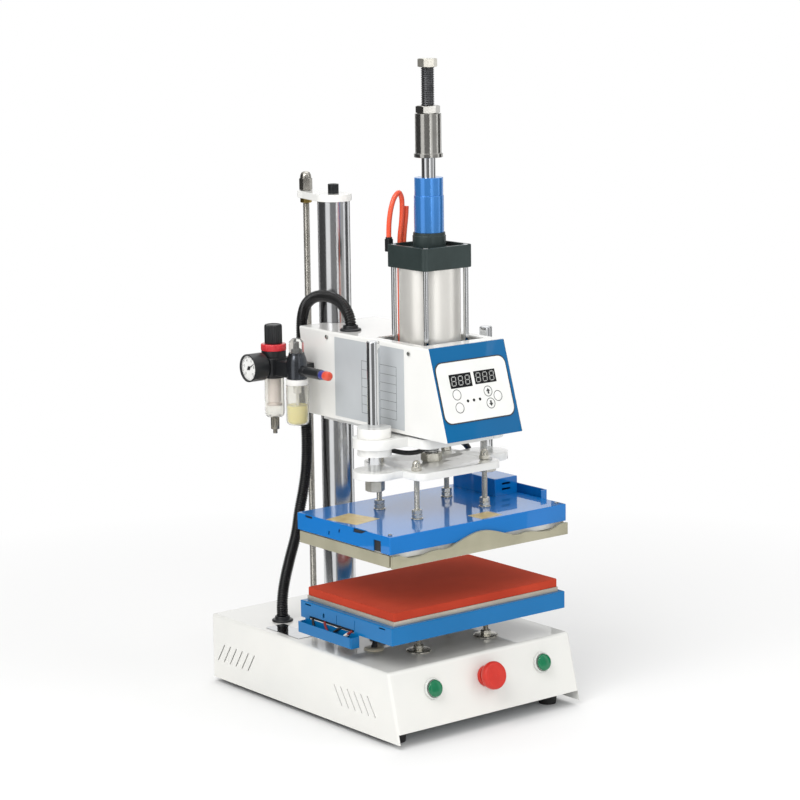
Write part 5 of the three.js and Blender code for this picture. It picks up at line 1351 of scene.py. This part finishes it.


# Cylinder. A bought air cylinder of 80 mm bore: two die cast caps held to an anodised barrel by
# four tie rods. The top cap has a shallow pocket with a turned collar in it, and a black plate on
# the pocket's floor is painted shade for the dark inside of the pocket.
cap_half = 0.044
cap_round = 0.008
tie_off = 0.036
cap_bottom = 0.413
cap_low_top = 0.441
cap_up_bottom = 0.644
cap_top = 0.676
collar_top = 0.693
pocket_half = 0.0385
pocket_round = 0.007
pocket_depth = 0.006
sink_radius = 0.0068
tie_radius = 0.0038
barrel_radius = 0.0435
slate_cast = finish_of("slate_cast", "2f3a39", "364241", 0.42, 0.16, metallic=0.3, patch=26.0, grain=420.0,
                       depth=0.00005)
satin_barrel = finish_of("satin_barrel", "f1efe9", "ebe8e2", 0.3, 0.03, metallic=0.55, patch=12.0,
                         grain=500.0, depth=0.000004, stretch=(1, 1, 0.02))
chrome = finish_of("chrome", "d9dbdd", "e4e5e6", 0.06, 0.03, metallic=1.0, patch=9.0, grain=900.0,
                   depth=0.000004, stretch=(1, 1, 0.08))
tie_places = [(sx * tie_off, press_y + sy * tie_off, 0) for sy in (-1, 1) for sx in (-1, 1)]
lower_cap = rounded_block("lower_cap", cap_half, cap_half, cap_bottom, cap_low_top, cap_round, (0, press_y))
upper_cap = rounded_block("upper_cap", cap_half, cap_half, cap_up_bottom, cap_top, cap_round, (0, press_y))
sinks = repeated("sinks", bore(sink_radius, cap_top - 0.008, cap_top + 0.002), tie_places, slate_cast)
pocket = rounded_block("pocket", pocket_half, pocket_half, cap_top - pocket_depth, cap_top + 0.002,
                       pocket_round, (0, press_y), 0.0004)
fitted("cylinder_cap_low", lower_cap, slate_cast, "arm", "dark_aluminium", "cylinder_lower_cap")
fitted("cylinder_cap_high", smoothed(cut_away(upper_cap, sinks, pocket)), slate_cast, "arm", "dark_aluminium",
       "cylinder_upper_cap")
# The black plate in the pocket is painted shade: it stands for the darkness down in the pocket.
pocket_floor = rounded_block("pocket_floor", pocket_half - 0.0002, pocket_half - 0.0002,
                             cap_top - pocket_depth - 0.0005, cap_top - pocket_depth + 0.0006, pocket_round,
                             (0, press_y), 0.0003)
floor_sinks = repeated("floor_sinks", bore(sink_radius, cap_top - 0.01, cap_top + 0.002), tie_places,
                       slate_cast)
fitted("cap_pocket_floor", smoothed(cut_away(pocket_floor, floor_sinks)), black_moulding, "arm",
       "black_plastic")
barrel_profile = round_bar(barrel_radius, cap_low_top, cap_up_bottom, 0.04)
fitted("barrel_sleeve", turned("barrel_sleeve", barrel_profile, (0, press_y, 0), sides=128), satin_barrel,
       "arm", "aluminium", "cylinder_barrel")
tie_profile = [(0, cap_low_top - 0.001), (tie_radius, cap_low_top - 0.001), (tie_radius, cap_top - 0.0005),
               (tie_radius - 0.0004, cap_top), (0, cap_top)]
tie_mesh = joined("tie", turned("tie_rod", tie_profile, sides=32),
                  nut_mesh("tie_nut", 0.011, cap_top - 0.0079, cap_top - 0.0015))
fitted("tie_rods", repeated("tie_rods", tie_mesh, tie_places, chrome), chrome, "arm", "chrome")
collar_foot = cap_top - pocket_depth + 0.0003
collar_ring = eased([(0.0103, collar_foot), (0.0235, collar_foot), (0.0235, collar_top - 0.0045),
                     (0.0226, collar_top - 0.0042), (0.0226, collar_top), (0.0103, collar_top)], 0.0008)
fitted("cap_collar", turned("cap_collar", collar_ring, (0, press_y, 0), sides=96), slate_cast, "arm",
       "dark_aluminium")


# Bumper. A blue anodised sleeve on the collar is the lower stop of the stroke.
# A fine seam parts its wider foot from its neck.
bumper_top = 0.77
blue_anodised = finish_of("blue_anodised", "3f86d2", "4b92dc", 0.18, 0.05, metallic=0.5, patch=16.0,
                          grain=800.0, stretch=(1, 1, 0.1), Coat_Weight=0.5, Coat_Roughness=0.08)
bumper_profile = eased([(0.0103, collar_top), (0.021, collar_top), (0.021, 0.7446), (0.0201, 0.745),
                        (0.0203, 0.7454), (0.0203, bumper_top), (0.0103, bumper_top)], 0.0007)
fitted("stop_bumper", turned("stop_bumper", bumper_profile, (0, press_y, 0), sides=96), blue_anodised,
       "arm", "blue_aluminium", "stroke_bumper")


# Valve and air fittings. A solenoid valve sits in the arm behind the cylinder, and push-in
# fittings of black plastic hold the tubes.
elbow_place = feed_route[0][:2]
valve_low, valve_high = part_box("solenoid_valve")
valve_mesh = rounded_block("valve_case", *((valve_high - valve_low) / 2).xy, valve_low.z, valve_high.z,
                           0.002, ((valve_low + valve_high) / 2).xy, 0.0008)
fitted("valve_case", valve_mesh, unit_steel, "arm", "aluminium", "solenoid_valve")
elbow_mesh = joined(
    "elbow_fitting",
    rounded_block("elbow_block", 0.0047, 0.0047, 0.664, 0.682, 0.0018, elbow_place, 0.0006),
    turned("elbow_ring", eased(round_bar(0.0047, 0.682, 0.6845, 0.0037), 0.0004), (*elbow_place, 0)),
    rounded_block("manifold", 0.0087, 0.0052, 0.4923, 0.5063, 0.0018, (-0.011, -0.042077), 0.0006))
fitted("tube_fittings", elbow_mesh, black_moulding, "arm", "orange_tube", "air_tubes")


# Piston rod. A hard chromed rod carries the ram plate between two nuts, and its threaded upper
# end carries the adjustable stop. A nut ends it.
rod_low = 0.3465
rod_profile = eased([(0, rod_low), (0.008, rod_low), (0.008, 0.366), (0.01, 0.366), (0.01, 0.606),
                     (0.0397, 0.606), (0.0397, 0.632), (0.01, 0.632), (0.01, 0.811), (0, 0.811)], 0.0005)
rod_place = (0, press_y, 0)
dark_thread = finish_of("dark_thread", "5d5e60", "77787a", 0.34, 0.14, metallic=1.0, patch=60.0)
fitted("chromed_rod", turned("chromed_rod", rod_profile, rod_place, sides=96), chrome, "ram", "chrome",
       "piston_rod")
fitted("rod_thread", joined(
    "rod_thread",
    threaded("upper_thread", 0.0093, 0.0012, 0.0025, 0.811, 0.9335, (0, press_y), sides=48, rows=8),
    threaded("lower_thread", 0.0104, 0.0012, 0.0025, 0.3775, 0.3945, (0, press_y), sides=48, rows=8)),
       dark_thread, "ram", "chrome")
fitted("rod_nuts", joined(
    "rod_nuts", nut_mesh("low_nut", 0.027, rod_low, 0.3555, rod_place),
    nut_mesh("end_nut", 0.027, 0.366, 0.378, rod_place),
    nut_mesh("top_nut", 0.024, 0.923, 0.935, rod_place)), bright_zinc, "ram", "chrome")


# Stop sleeve. A turned steel sleeve with a flange, locked by a broad nut, meets the bumper at
# the lower end of the stroke.
sleeve_profile = eased([(0.0101, 0.798), (0.0203, 0.798), (0.0203, 0.8036), (0.0185, 0.8036), (0.0185, 0.859),
                        (0.0101, 0.859)], 0.0006)
turned_steel = finish_of("turned_steel", "c4c3bf", "b3b1ab", 0.16, 0.12, metallic=1.0, patch=20.0,
                         grain=1500.0, stretch=(0.1, 0.1, 1))
fitted("adjusting_sleeve", joined(
    "adjusting_sleeve", turned("sleeve", sleeve_profile, rod_place, sides=96),
    nut_mesh("sleeve_nut", 0.03, 0.859, 0.87, rod_place, 0.0012, 0.0101)), turned_steel, "stroke_stop",
       "plated_steel", "stop_sleeve")


# Ram plate and guide posts. The plate is flame cut steel, painted white. Two chromed posts stand
# on its ears and slide through the bushes.
fitted("ram_cross", softened("ram_plate", 0.001, 3), white_gloss, "ram", "white_paint", "ram_plate")
pale_zinc = finish_of("pale_zinc", "d4d1c6", "c4c1b5", 0.36, 0.12, metallic=0.75, patch=90.0, grain=600.0)
post_profile = eased([(0, 0.366), (0.0092, 0.366), (0.0092, 0.5475), (0.0077, 0.549), (0, 0.549)], 0.0004)
for side, sign in (("left", -1), ("right", 1)):
    post_place = (sign * bush_x, press_y, 0)
    post_mesh = joined(
        "post", turned("post_bar", post_profile, post_place, sides=96),
        threaded("post_stud", 0.007, 0.0008, 0.0015, 0.3363, 0.3665, post_place, sides=32))
    fitted(f"chromed_post_{side}", post_mesh, chrome, "ram", "chrome", f"guide_post_{side}")
post_nut = joined(
    "post_nut", nut_mesh("hexagon", 0.024, 0.3363, 0.3513, chamfer=0.001),
    turned("washer", eased(round_bar(0.013, 0.3513, 0.3555, 0.0071), 0.0005)))
nut_spots = [(sign * bush_x, press_y, 0) for sign in (-1, 1)]
fitted("post_nuts", repeated("post_nuts", post_nut, nut_spots, pale_zinc), pale_zinc, "ram", "chrome")


# Hangers. Four threaded rods with nuts, washers and dome nuts hang the upper heater from the
# ram plate, and are bright zinc plated.
dome_profile = nut_profile(0.013, 0.366, 0.372)[:-2]
dome_profile += [(0.0063, 0.3722), (0.0061, 0.375), (0.0052, 0.3778), (0.0036, 0.3799), (0.0016, 0.3809),
                 (0, 0.381)]
hanger_mesh = joined(
    "hanger",
    threaded("hanger_rod", 0.004, 0.0006, 0.00125, 0.281, 0.3555, (0, 0), sides=20, rows=5),
    turned("hanger_washer", eased(round_bar(0.0085, 0.2963, 0.2983, 0.004), 0.0004), sides=48),
    nut_mesh("hanger_nut_low", 0.013, 0.2983, 0.3043),
    nut_mesh("hanger_nut_mid", 0.013, 0.3043, 0.3103),
    turned("hanger_dome", dome_profile, sides=72, flats=0.013))
fitted("hanger_set", repeated("hanger_set", hanger_mesh, leg_corners, bright_zinc), bright_zinc, "ram",
       "chrome", *[f"hanger_{name}" for name in corner_names])


# Upper heater. A folded blue cover with a connection box and a side channel sits on the heated
# block, whose side rails hold the die drawer. The cover's left side is slotted and notched.
head_half = 0.161
head_reach = 0.107
head_low = 0.2718
head_high = 0.2963
head_sheet = 0.0015
box_low = (0.117, press_y - 0.001, 0.2952)
box_high = (0.16, press_y + 0.095, 0.3213)
box_wall = 0.002
box_slot_x = (0.1305, 0.1465)
box_slot_heights = (0.3048, 0.3128)
channel_low = (0.1605, press_y - 0.053, 0.286)
channel_high = (0.172, press_y + 0.024, 0.307)
channel_inner = 0.159
hanger_hole = 0.0043
block_half = 0.157
block_reach = 0.103
block_z = (0.263, 0.281)
rail_bottom = 0.2528
# Each rail and each foot under it has its x, width, height and bend.
rail_bars = [(-0.16, 0.006, 0.017, 0.0006), (0.154, 0.006, 0.017, 0.0006),
             (-0.1545, 0.0055, 0.0025, 0.0004), (0.149, 0.0055, 0.0025, 0.0004)]
lining_low = (-0.1594, press_y - 0.105, 0.2725)
lining_high = (-0.1575, press_y + 0.105, 0.2944)
side_cuts = [(-0.178, -0.1617, 0.2708, 0.288), (-0.0202, -0.0032, 0.292, 0.2978)]
edge_notch = [(-0.1155, 0.2978), (-0.1155, 0.2902), (-0.134, 0.2912), (-0.15, 0.2978)]
side_holes = [(-0.0592, 0.279), (-0.0832, 0.286)]
heater_blue = gloss_paint("heater_blue", "066eb8", "0874c4", 5.0, 0.1, 1.42, 0.02)
milled_aluminium = finish_of("milled_aluminium", "f2f2f0", "e6e6e3", 0.35, 0.1, metallic=0.3,
                             patch=14.0, grain=600.0, stretch=(0.06, 1, 1))
khaki_aluminium = finish_of("khaki_aluminium", "b3af98", "a6a28b", 0.4, 0.16, metallic=0.35, patch=18.0,
                            grain=600.0, stretch=(0.06, 1, 1))


def built_on(mesh, *additions):
    """The mesh grown together with the others."""
    return worked(mesh, "UNION", additions)


head_mesh = press_block("heater_cover", head_half, head_reach, head_low, head_high, 0.0014,
                        below(head_low + 0.001))
box_mesh = block("box", box_low, box_high, 0.001, below(box_low[2] + 0.001))
head_cuts = [
    press_block("inside", head_half - head_sheet, head_reach - head_sheet, head_low - 0.002,
                head_high - head_sheet),
    block("box_inside", (box_low[0] + box_wall, box_low[1] + box_wall, head_low),
          (box_high[0] - box_wall, box_high[1] - box_wall, box_high[2] - box_wall)),
    repeated("hanger_holes", sheet_hole(hanger_hole, head_high), leg_corners, heater_blue),
    *[block("slot", (box_slot_x[0], box_low[1] - 0.001, slot_z - 0.0015),
            (box_slot_x[1], box_low[1] + box_wall + 0.001, slot_z + 0.0015)) for slot_z in box_slot_heights],
    *[side_slit(head_half, 0.0016, cut) for cut in side_cuts],
    *[side_hole(head_half, 0.006, 0.0034, 0.3, spot) for spot in side_holes],
    pulled("edge_notch", edge_notch, -head_half - 0.001, 0.003 - head_half),
]
channel_mesh = cut_away(
    block("side_channel", channel_low, channel_high, 0.0008, above(channel_high[2] - 0.001)),
    block("hollow", (channel_inner, channel_low[1] + head_sheet, channel_low[2] + head_sheet),
          (channel_high[0] - head_sheet, channel_high[1] - head_sheet, channel_high[2] + 0.002)),
    block("inner_gap", (channel_inner, channel_low[1] - 0.001, head_high),
          (head_half, channel_high[1] + 0.001, channel_high[2] + 0.003)))
cover_mesh = joined("heater_cover", cut_away(built_on(head_mesh, box_mesh), *head_cuts), channel_mesh)
fitted("heater_cover", smoothed(cover_mesh), heater_blue, "ram", "blue_paint", "head_cover")
rail_meshes = [block("rail", (x, press_y - block_reach, rail_bottom),
                     (x + width, press_y + block_reach, rail_bottom + height), bend)
               for x, width, height, bend in rail_bars]
fitted("drawer_rails", smoothed(joined("drawer_rails", *rail_meshes)), khaki_aluminium, "ram", "aluminium",
       "heater_block")
bright_block = press_block("bright_block", block_half, block_reach - 0.0002, *block_z, 0.0008)
fitted("bright_block", smoothed(bright_block), milled_aluminium, "ram", "aluminium")
fitted("heater_lining", block("lining", lining_low, lining_high), cast_grey, "ram", "dark_aluminium")


# Stickers and screws of the heater cover. Two blank foil stickers are on its top, one round a
# hanger, and small bright screws hold the cover and its channel.
sticker_thick = 0.00015
stickers = [((-0.129, -0.073), (0.025, 0.029), 0.2), ((0.026, -0.177), (0.02, 0.015), 0.05)]
sticker_hole_radius = 0.0088
cover_screw_size = (0.003, 0.0018, 0.0013)
cover_screw_places = [(-0.152, -0.1875, head_high), (0.152, -0.1875, head_high)]
channel_screw_place = (0.172, -0.105, 0.2965)
pale_foil = finish_of("pale_foil", "dcc68c", "c8ac68", 0.3, 0.1, metallic=0.3, patch=60.0, grain=500.0)
sticker_meshes = []
for (sticker_x, sticker_y), sticker_half, sticker_turn in stickers:
    sticker = rounded_block("sticker", *sticker_half, 0, sticker_thick, 0.0015, edge=0.00004)
    sticker.transform(Matrix.Translation((sticker_x, sticker_y, head_high))
                      @ Matrix.Rotation(sticker_turn, 4, "Z"))
    sticker_meshes.append(sticker)
sticker_hole = bore(sticker_hole_radius, head_high - 0.001, head_high + 0.001)
sticker_holes = repeated("sticker_holes", sticker_hole, leg_corners, pale_foil)
fitted("cover_stickers", cut_away(joined("cover_stickers", *sticker_meshes), sticker_holes), pale_foil, "ram",
       "pale_ring")
cover_screws = repeated("cover_screws", socket_head("cover_screw", *cover_screw_size), cover_screw_places,
                        bright_steel)
channel_screw = socket_head("channel_screw", *cover_screw_size, channel_screw_place, (1, 0, 0))
fitted("heater_screws", joined("heater_screws", cover_screws, channel_screw), bright_steel, "ram", "chrome")


# Die drawer. A plate that carries the heated die slides out on the rails. Its front lip is cut
# in a low wave with a hump in the middle, and its face is left plain.
fitted("sliding_drawer", softened("die_drawer", 0.0006, 3), khaki_aluminium, "drawer", "drawer_metal",
       "die_drawer")


# Air preparation. A filter and regulator stands beside the arm with a lubricator in line: die
# cast bodies, a ribbed knob with a red ring, and clear bowls below that show what is in them.
air_x = -0.105
regulator_y = 0.143823
lubricator_y = 0.086823
block_low = 0.474
block_high = 0.499
air_middle = (block_low + block_high) / 2
arm_wall_x = -0.0703
bracket_y = (0.0913, 0.1393)
bracket_z = (0.4805, 0.4925)
gauge_height = 0.487
boss_x = (-0.1247, -0.112)
boss_half = 0.006
red_ring = finish_of("red_ring", "d8343c", "cf2f38", 0.26, 0.06, patch=60.0, Coat_Weight=0.2)
violet_ring = finish_of("violet_ring", "363c84", "3c4290", 0.3, 0.06, patch=80.0)
coral_plastic = finish_of("coral_plastic", "e0563f", "d64f3a", 0.28, 0.06, patch=80.0)
neck_metal = finish_of("neck_metal", "5a5d62", "4c4f54", 0.24, 0.1, metallic=0.9, patch=50.0)
white_plastic = finish_of("white_plastic", "eceae6", "e0deda", 0.32, 0.06, patch=60.0)
clear_plastic = finish_of("clear_plastic", "fbfaf6", "f6f5f0", 0.06, 0.03, patch=30.0, grain=300.0,
                          Transmission_Weight=0.92, IOR=1.32)
yellow_oil = finish_of("yellow_oil", "fdf3ae", "f8ea98", 0.1, 0.04, patch=50.0)
drain_metal = finish_of("drain_metal", "a5a195", "8d897e", 0.2, 0.08, metallic=0.9, patch=60.0)
filter_felt = finish_of("filter_felt", "fdf3ef", "f4e8e3", 0.7, 0.1, patch=120.0, grain=1200.0, depth=0.00008)


def standing(profile, y, sides=64, flutes=None):
    """A part of the air set turned about the upright axis through its body at y."""
    return turned("standing", profile, (air_x, y, 0), sides=sides, flutes=flutes)


def lying(profile, y, sides=48):
    """A part of the air set turned about a line along Y, from y on."""
    return turned("lying", profile, (air_x, y, air_middle), (0, 1, 0), sides)


fitted("air_body", joined(
    "air_body",
    standing(eased(round_bar(0.018, 0.469, 0.509), 0.001), regulator_y),
    rounded_block("square", 0.019, 0.019, block_low, block_high, 0.004, (air_x, regulator_y), 0.0012),
    rounded_block("link", 0.011, 0.0285, block_low + 0.0003, 0.497, 0.002,
                  (air_x, (regulator_y + lubricator_y) / 2), 0.001),
    block("bracket", (air_x, bracket_y[0], bracket_z[0]), (arm_wall_x, bracket_y[1], bracket_z[1]), 0.0008),
    block("gauge_boss", (boss_x[0], regulator_y - boss_half, gauge_height - boss_half),
          (boss_x[1], regulator_y + boss_half, gauge_height + boss_half), 0.001),
    standing(round_bar(0.004, 0.508, 0.533), regulator_y, 32),
    lying(round_bar(0.005, 0, 0.014, 0.0026), regulator_y + 0.019, 32)),
    black_moulding, "arm", "black_plastic", "frl_body")
ring_profile = eased([(0.0125, 0.509), (0.0183, 0.509), (0.0186, 0.5105), (0.0186, 0.5172),
                      (0.0178, 0.5187), (0.0125, 0.5187)], 0.0005)
fitted("knob_ring", standing(ring_profile, regulator_y, 240, (40, 0.0004)), red_ring, "arm", "red_button")
knob_profile = [(0.0044, 0.519), (0.0128, 0.519), (0.013, 0.5196), (0.013, 0.544), (0.0126, 0.5458),
                (0.0115, 0.547), (0.0098, 0.5471), (0.0094, 0.5464), (0, 0.5464), (0, 0.535), (0.0044, 0.535)]
fitted("ribbed_knob", standing(knob_profile, regulator_y, 240, (30, 0.0006)), black_moulding, "knob",
       "black_plastic", "regulator_knob")
neck_profile = eased([(0, 0.4736), (0.015, 0.4736), (0.015, 0.499), (0.0135, 0.505), (0.0117, 0.509),
                      (0.0117, 0.5115), (0, 0.5115)], 0.0008)
fitted("oiler_neck", standing(neck_profile, lubricator_y), neck_metal, "arm", "dark_aluminium")
fitted("oiler_ring", standing(eased(round_bar(0.0162, 0.465, 0.4735), 0.0007), lubricator_y), white_plastic,
       "arm", "pale_ring")
dome_outline = eased([(0, 0.5114), (0.011, 0.5114), (0.011, 0.5275), (0.0055, 0.533), (0, 0.533)], 0.002)
fitted("oiler_dome", standing(dome_outline, lubricator_y), clear_plastic, "arm", "clear_bowl")
drip_profile = eased([(0, 0.5116), (0.0062, 0.5116), (0.0062, 0.5165), (0.003, 0.519), (0.003, 0.526),
                      (0, 0.526)], 0.0006)
fitted("oiler_drip", standing(drip_profile, lubricator_y), black_moulding, "arm", "black_plastic")
inlet_profile = eased([(0, 0), (0.0062, 0), (0.0075, 0.002), (0.0075, 0.036), (0.0068, 0.0364),
                       (0.0068, 0.038), (0.0075, 0.0384), (0.0075, 0.0545), (0, 0.0545)], 0.0006)
fitted("inlet_fitting", lying(inlet_profile, 0.0263), black_moulding, "arm", "black_plastic")
collet_profile = eased([(0, 0), (0.0066, 0), (0.0068, 0.0025), (0.0068, 0.0085), (0, 0.0085)], 0.0006)
fitted("fitting_collet", lying(collet_profile, 0.0187), violet_ring, "arm", "blue_aluminium")
end_profile = eased([(0, 0), (0.0035, 0), (0.0062, 0.0018), (0.0066, 0.004), (0.0066, 0.0125),
                     (0, 0.0125)], 0.001)
fitted("fitting_end", lying(end_profile, 0.0065), coral_plastic, "arm", "orange_tube")
bowl_profile = [(0, 0.41), (0.0085, 0.41), (0.0118, 0.4108), (0.0137, 0.4128), (0.0145, 0.416),
                (0.0145, 0.4687), (0.0133, 0.4687), (0.0133, 0.4165), (0.0126, 0.4138), (0.0108, 0.4121),
                (0.0082, 0.4113), (0, 0.4113)]
fitted("clear_filter_bowl", standing(bowl_profile, regulator_y), clear_plastic, "arm", "clear_bowl",
       "filter_bowl")
fitted("filter_element", joined(
    "filter_element",
    standing(eased(round_bar(0.0098, 0.4325, 0.468), 0.0008), regulator_y),
    standing(eased([(0, 0.427), (0.0115, 0.427), (0.0115, 0.4295), (0.006, 0.4325), (0, 0.4325)], 0.0005),
             regulator_y)), filter_felt, "arm", "pale_ring")
fitted("bowl_drain", joined(
    "bowl_drain",
    standing(eased([(0, 0.3915), (0.0062, 0.3915), (0.0064, 0.4004), (0.0064, 0.4108), (0, 0.4108)], 0.0006),
             regulator_y, 144, (24, 0.0003)),
    standing(eased(round_bar(0.0032, 0.385, 0.3915), 0.0005), regulator_y, 32)),
    drain_metal, "arm", "dark_aluminium")
oil_bowl_profile = [(0, 0.406), (0.0103, 0.406), (0.0137, 0.4069), (0.0157, 0.409), (0.0165, 0.4122),
                    (0.0165, 0.4647), (0.0153, 0.4647), (0.0153, 0.4127), (0.0146, 0.41), (0.0127, 0.4081),
                    (0.01, 0.4073), (0, 0.4073)]
fitted("clear_oil_bowl", standing(oil_bowl_profile, lubricator_y), clear_plastic, "arm", "oil_bowl",
       "lubricator_bowl")
oil_profile = eased([(0, 0.4076), (0.0098, 0.4076), (0.0125, 0.4084), (0.0143, 0.4102), (0.015, 0.413),
                     (0.015, 0.435), (0.0146, 0.4346), (0, 0.4346)], 0.0003)
fitted("bowl_oil", standing(oil_profile, lubricator_y), yellow_oil, "arm", "oil_bowl")
pipe_profile = eased([(0, 0.43), (0.0022, 0.43), (0.0022, 0.452), (0.006, 0.453), (0.006, 0.466),
                      (0, 0.466)], 0.0004)
fitted("oil_pipe", standing(pipe_profile, lubricator_y, 32), white_plastic, "arm", "clear_bowl")


# Gauge. A black case with a white dial, numbers round its edge, and a black needle that turns
# with the pressure. Its face looks to the left of the press.
gauge_place = (-0.152, regulator_y, gauge_height)
dial_level = -0.0028
dial_edge = 0.0182
dial_sweep = math.radians(135)
dial_steps = 10
dial_marks = (0, 2, 4, 6, 8, 10)
number_reach = 0.0118
number_size = 0.0052
gauge_turn = Matrix(((0, -1, 0), (0, 0, 1), (-1, 0, 0))).transposed().to_4x4()
gauge_frame = Matrix.Translation(gauge_place) @ gauge_turn
dial_white = finish_of("dial_white", "eeeeec", "e4e4e1", 0.4, 0.06, patch=60.0)
dial_ink = finish_of("dial_ink", "1d1e20", "28292b", 0.5, 0.06, patch=90.0)


def on_gauge(name, mesh, finish, slot, *stands_for):
    """A finished piece, drawn flat with +Z out of the dial and moved to the gauge."""
    mesh.transform(gauge_frame)
    return fitted(name, mesh, finish, "arm", slot, *stands_for)


def dial_spot(share, reach):
    """The place of a mark and its turn, at a share of the sweep, clockwise from the low left."""
    angle = dial_sweep * (2 * share - 1)
    return (reach * math.sin(angle), reach * math.cos(angle), 0), (0, 0, -angle)


def number_mesh(text, size):
    """A number's plain mesh, centred on its place, standing a hair above the dial."""
    curve = bpy.data.curves.new("number", "FONT")
    curve.body = text
    curve.size = size
    curve.extrude = 0.00006
    curve.align_x = "CENTER"
    curve.align_y = "CENTER"
    mesh = plain_mesh(new_object("number_carrier", curve), "number")
    shape = bmesh.new()
    shape.from_mesh(mesh)
    bmesh.ops.remove_doubles(shape, verts=shape.verts, dist=0.000002)
    bmesh.ops.recalc_face_normals(shape, faces=shape.faces)
    return mesh_of(shape, "number")


def tick_marks(name, half_width, half_length, reach, shares):
    """One short line at each share of the sweep."""
    tick = block(name, (-half_width, -half_length, dial_level - 0.0001),
                 (half_width, half_length, dial_level + 0.0001))
    spots, turns = zip(*[dial_spot(share, reach) for share in shares])
    return repeated(name + "s", tick, spots, dial_ink, turns)


drum_profile = eased([(0, -0.027), (0.0183, -0.027), (0.0205, -0.0248), (0.0205, 0), (0.0186, 0),
                      (0.0183, -0.003), (0.001, -0.003), (0.001, -0.0021), (0, -0.0021)], 0.0004)
on_gauge("gauge_drum", turned("gauge_drum", drum_profile, sides=96), black_moulding, "black_plastic",
         "gauge_case")
dial_profile = round_bar(dial_edge, dial_level - 0.0004, dial_level, 0.0011)
on_gauge("gauge_dial", turned("gauge_dial", dial_profile, sides=96), dial_white, "white_membrane")
long_ticks = tick_marks("long_tick", 0.00035, 0.0012, 0.0158, [k / dial_steps for k in range(dial_steps + 1)])
short_ticks = tick_marks("short_tick", 0.0002, 0.0007, 0.0163,
                         [k / dial_steps / 5 for k in range(5 * dial_steps + 1) if k % 5])
numbers = []
for mark in dial_marks:
    spot, turn = dial_spot(mark / dial_steps, number_reach)
    number = number_mesh(str(mark), number_size)
    number.transform(Matrix.Translation((spot[0], spot[1], dial_level)))
    numbers.append(number)
on_gauge("dial_scale", joined("dial_scale", long_ticks, short_ticks, *numbers), dial_ink,
         "black_plastic")
painted("gauge_needle", dial_ink)
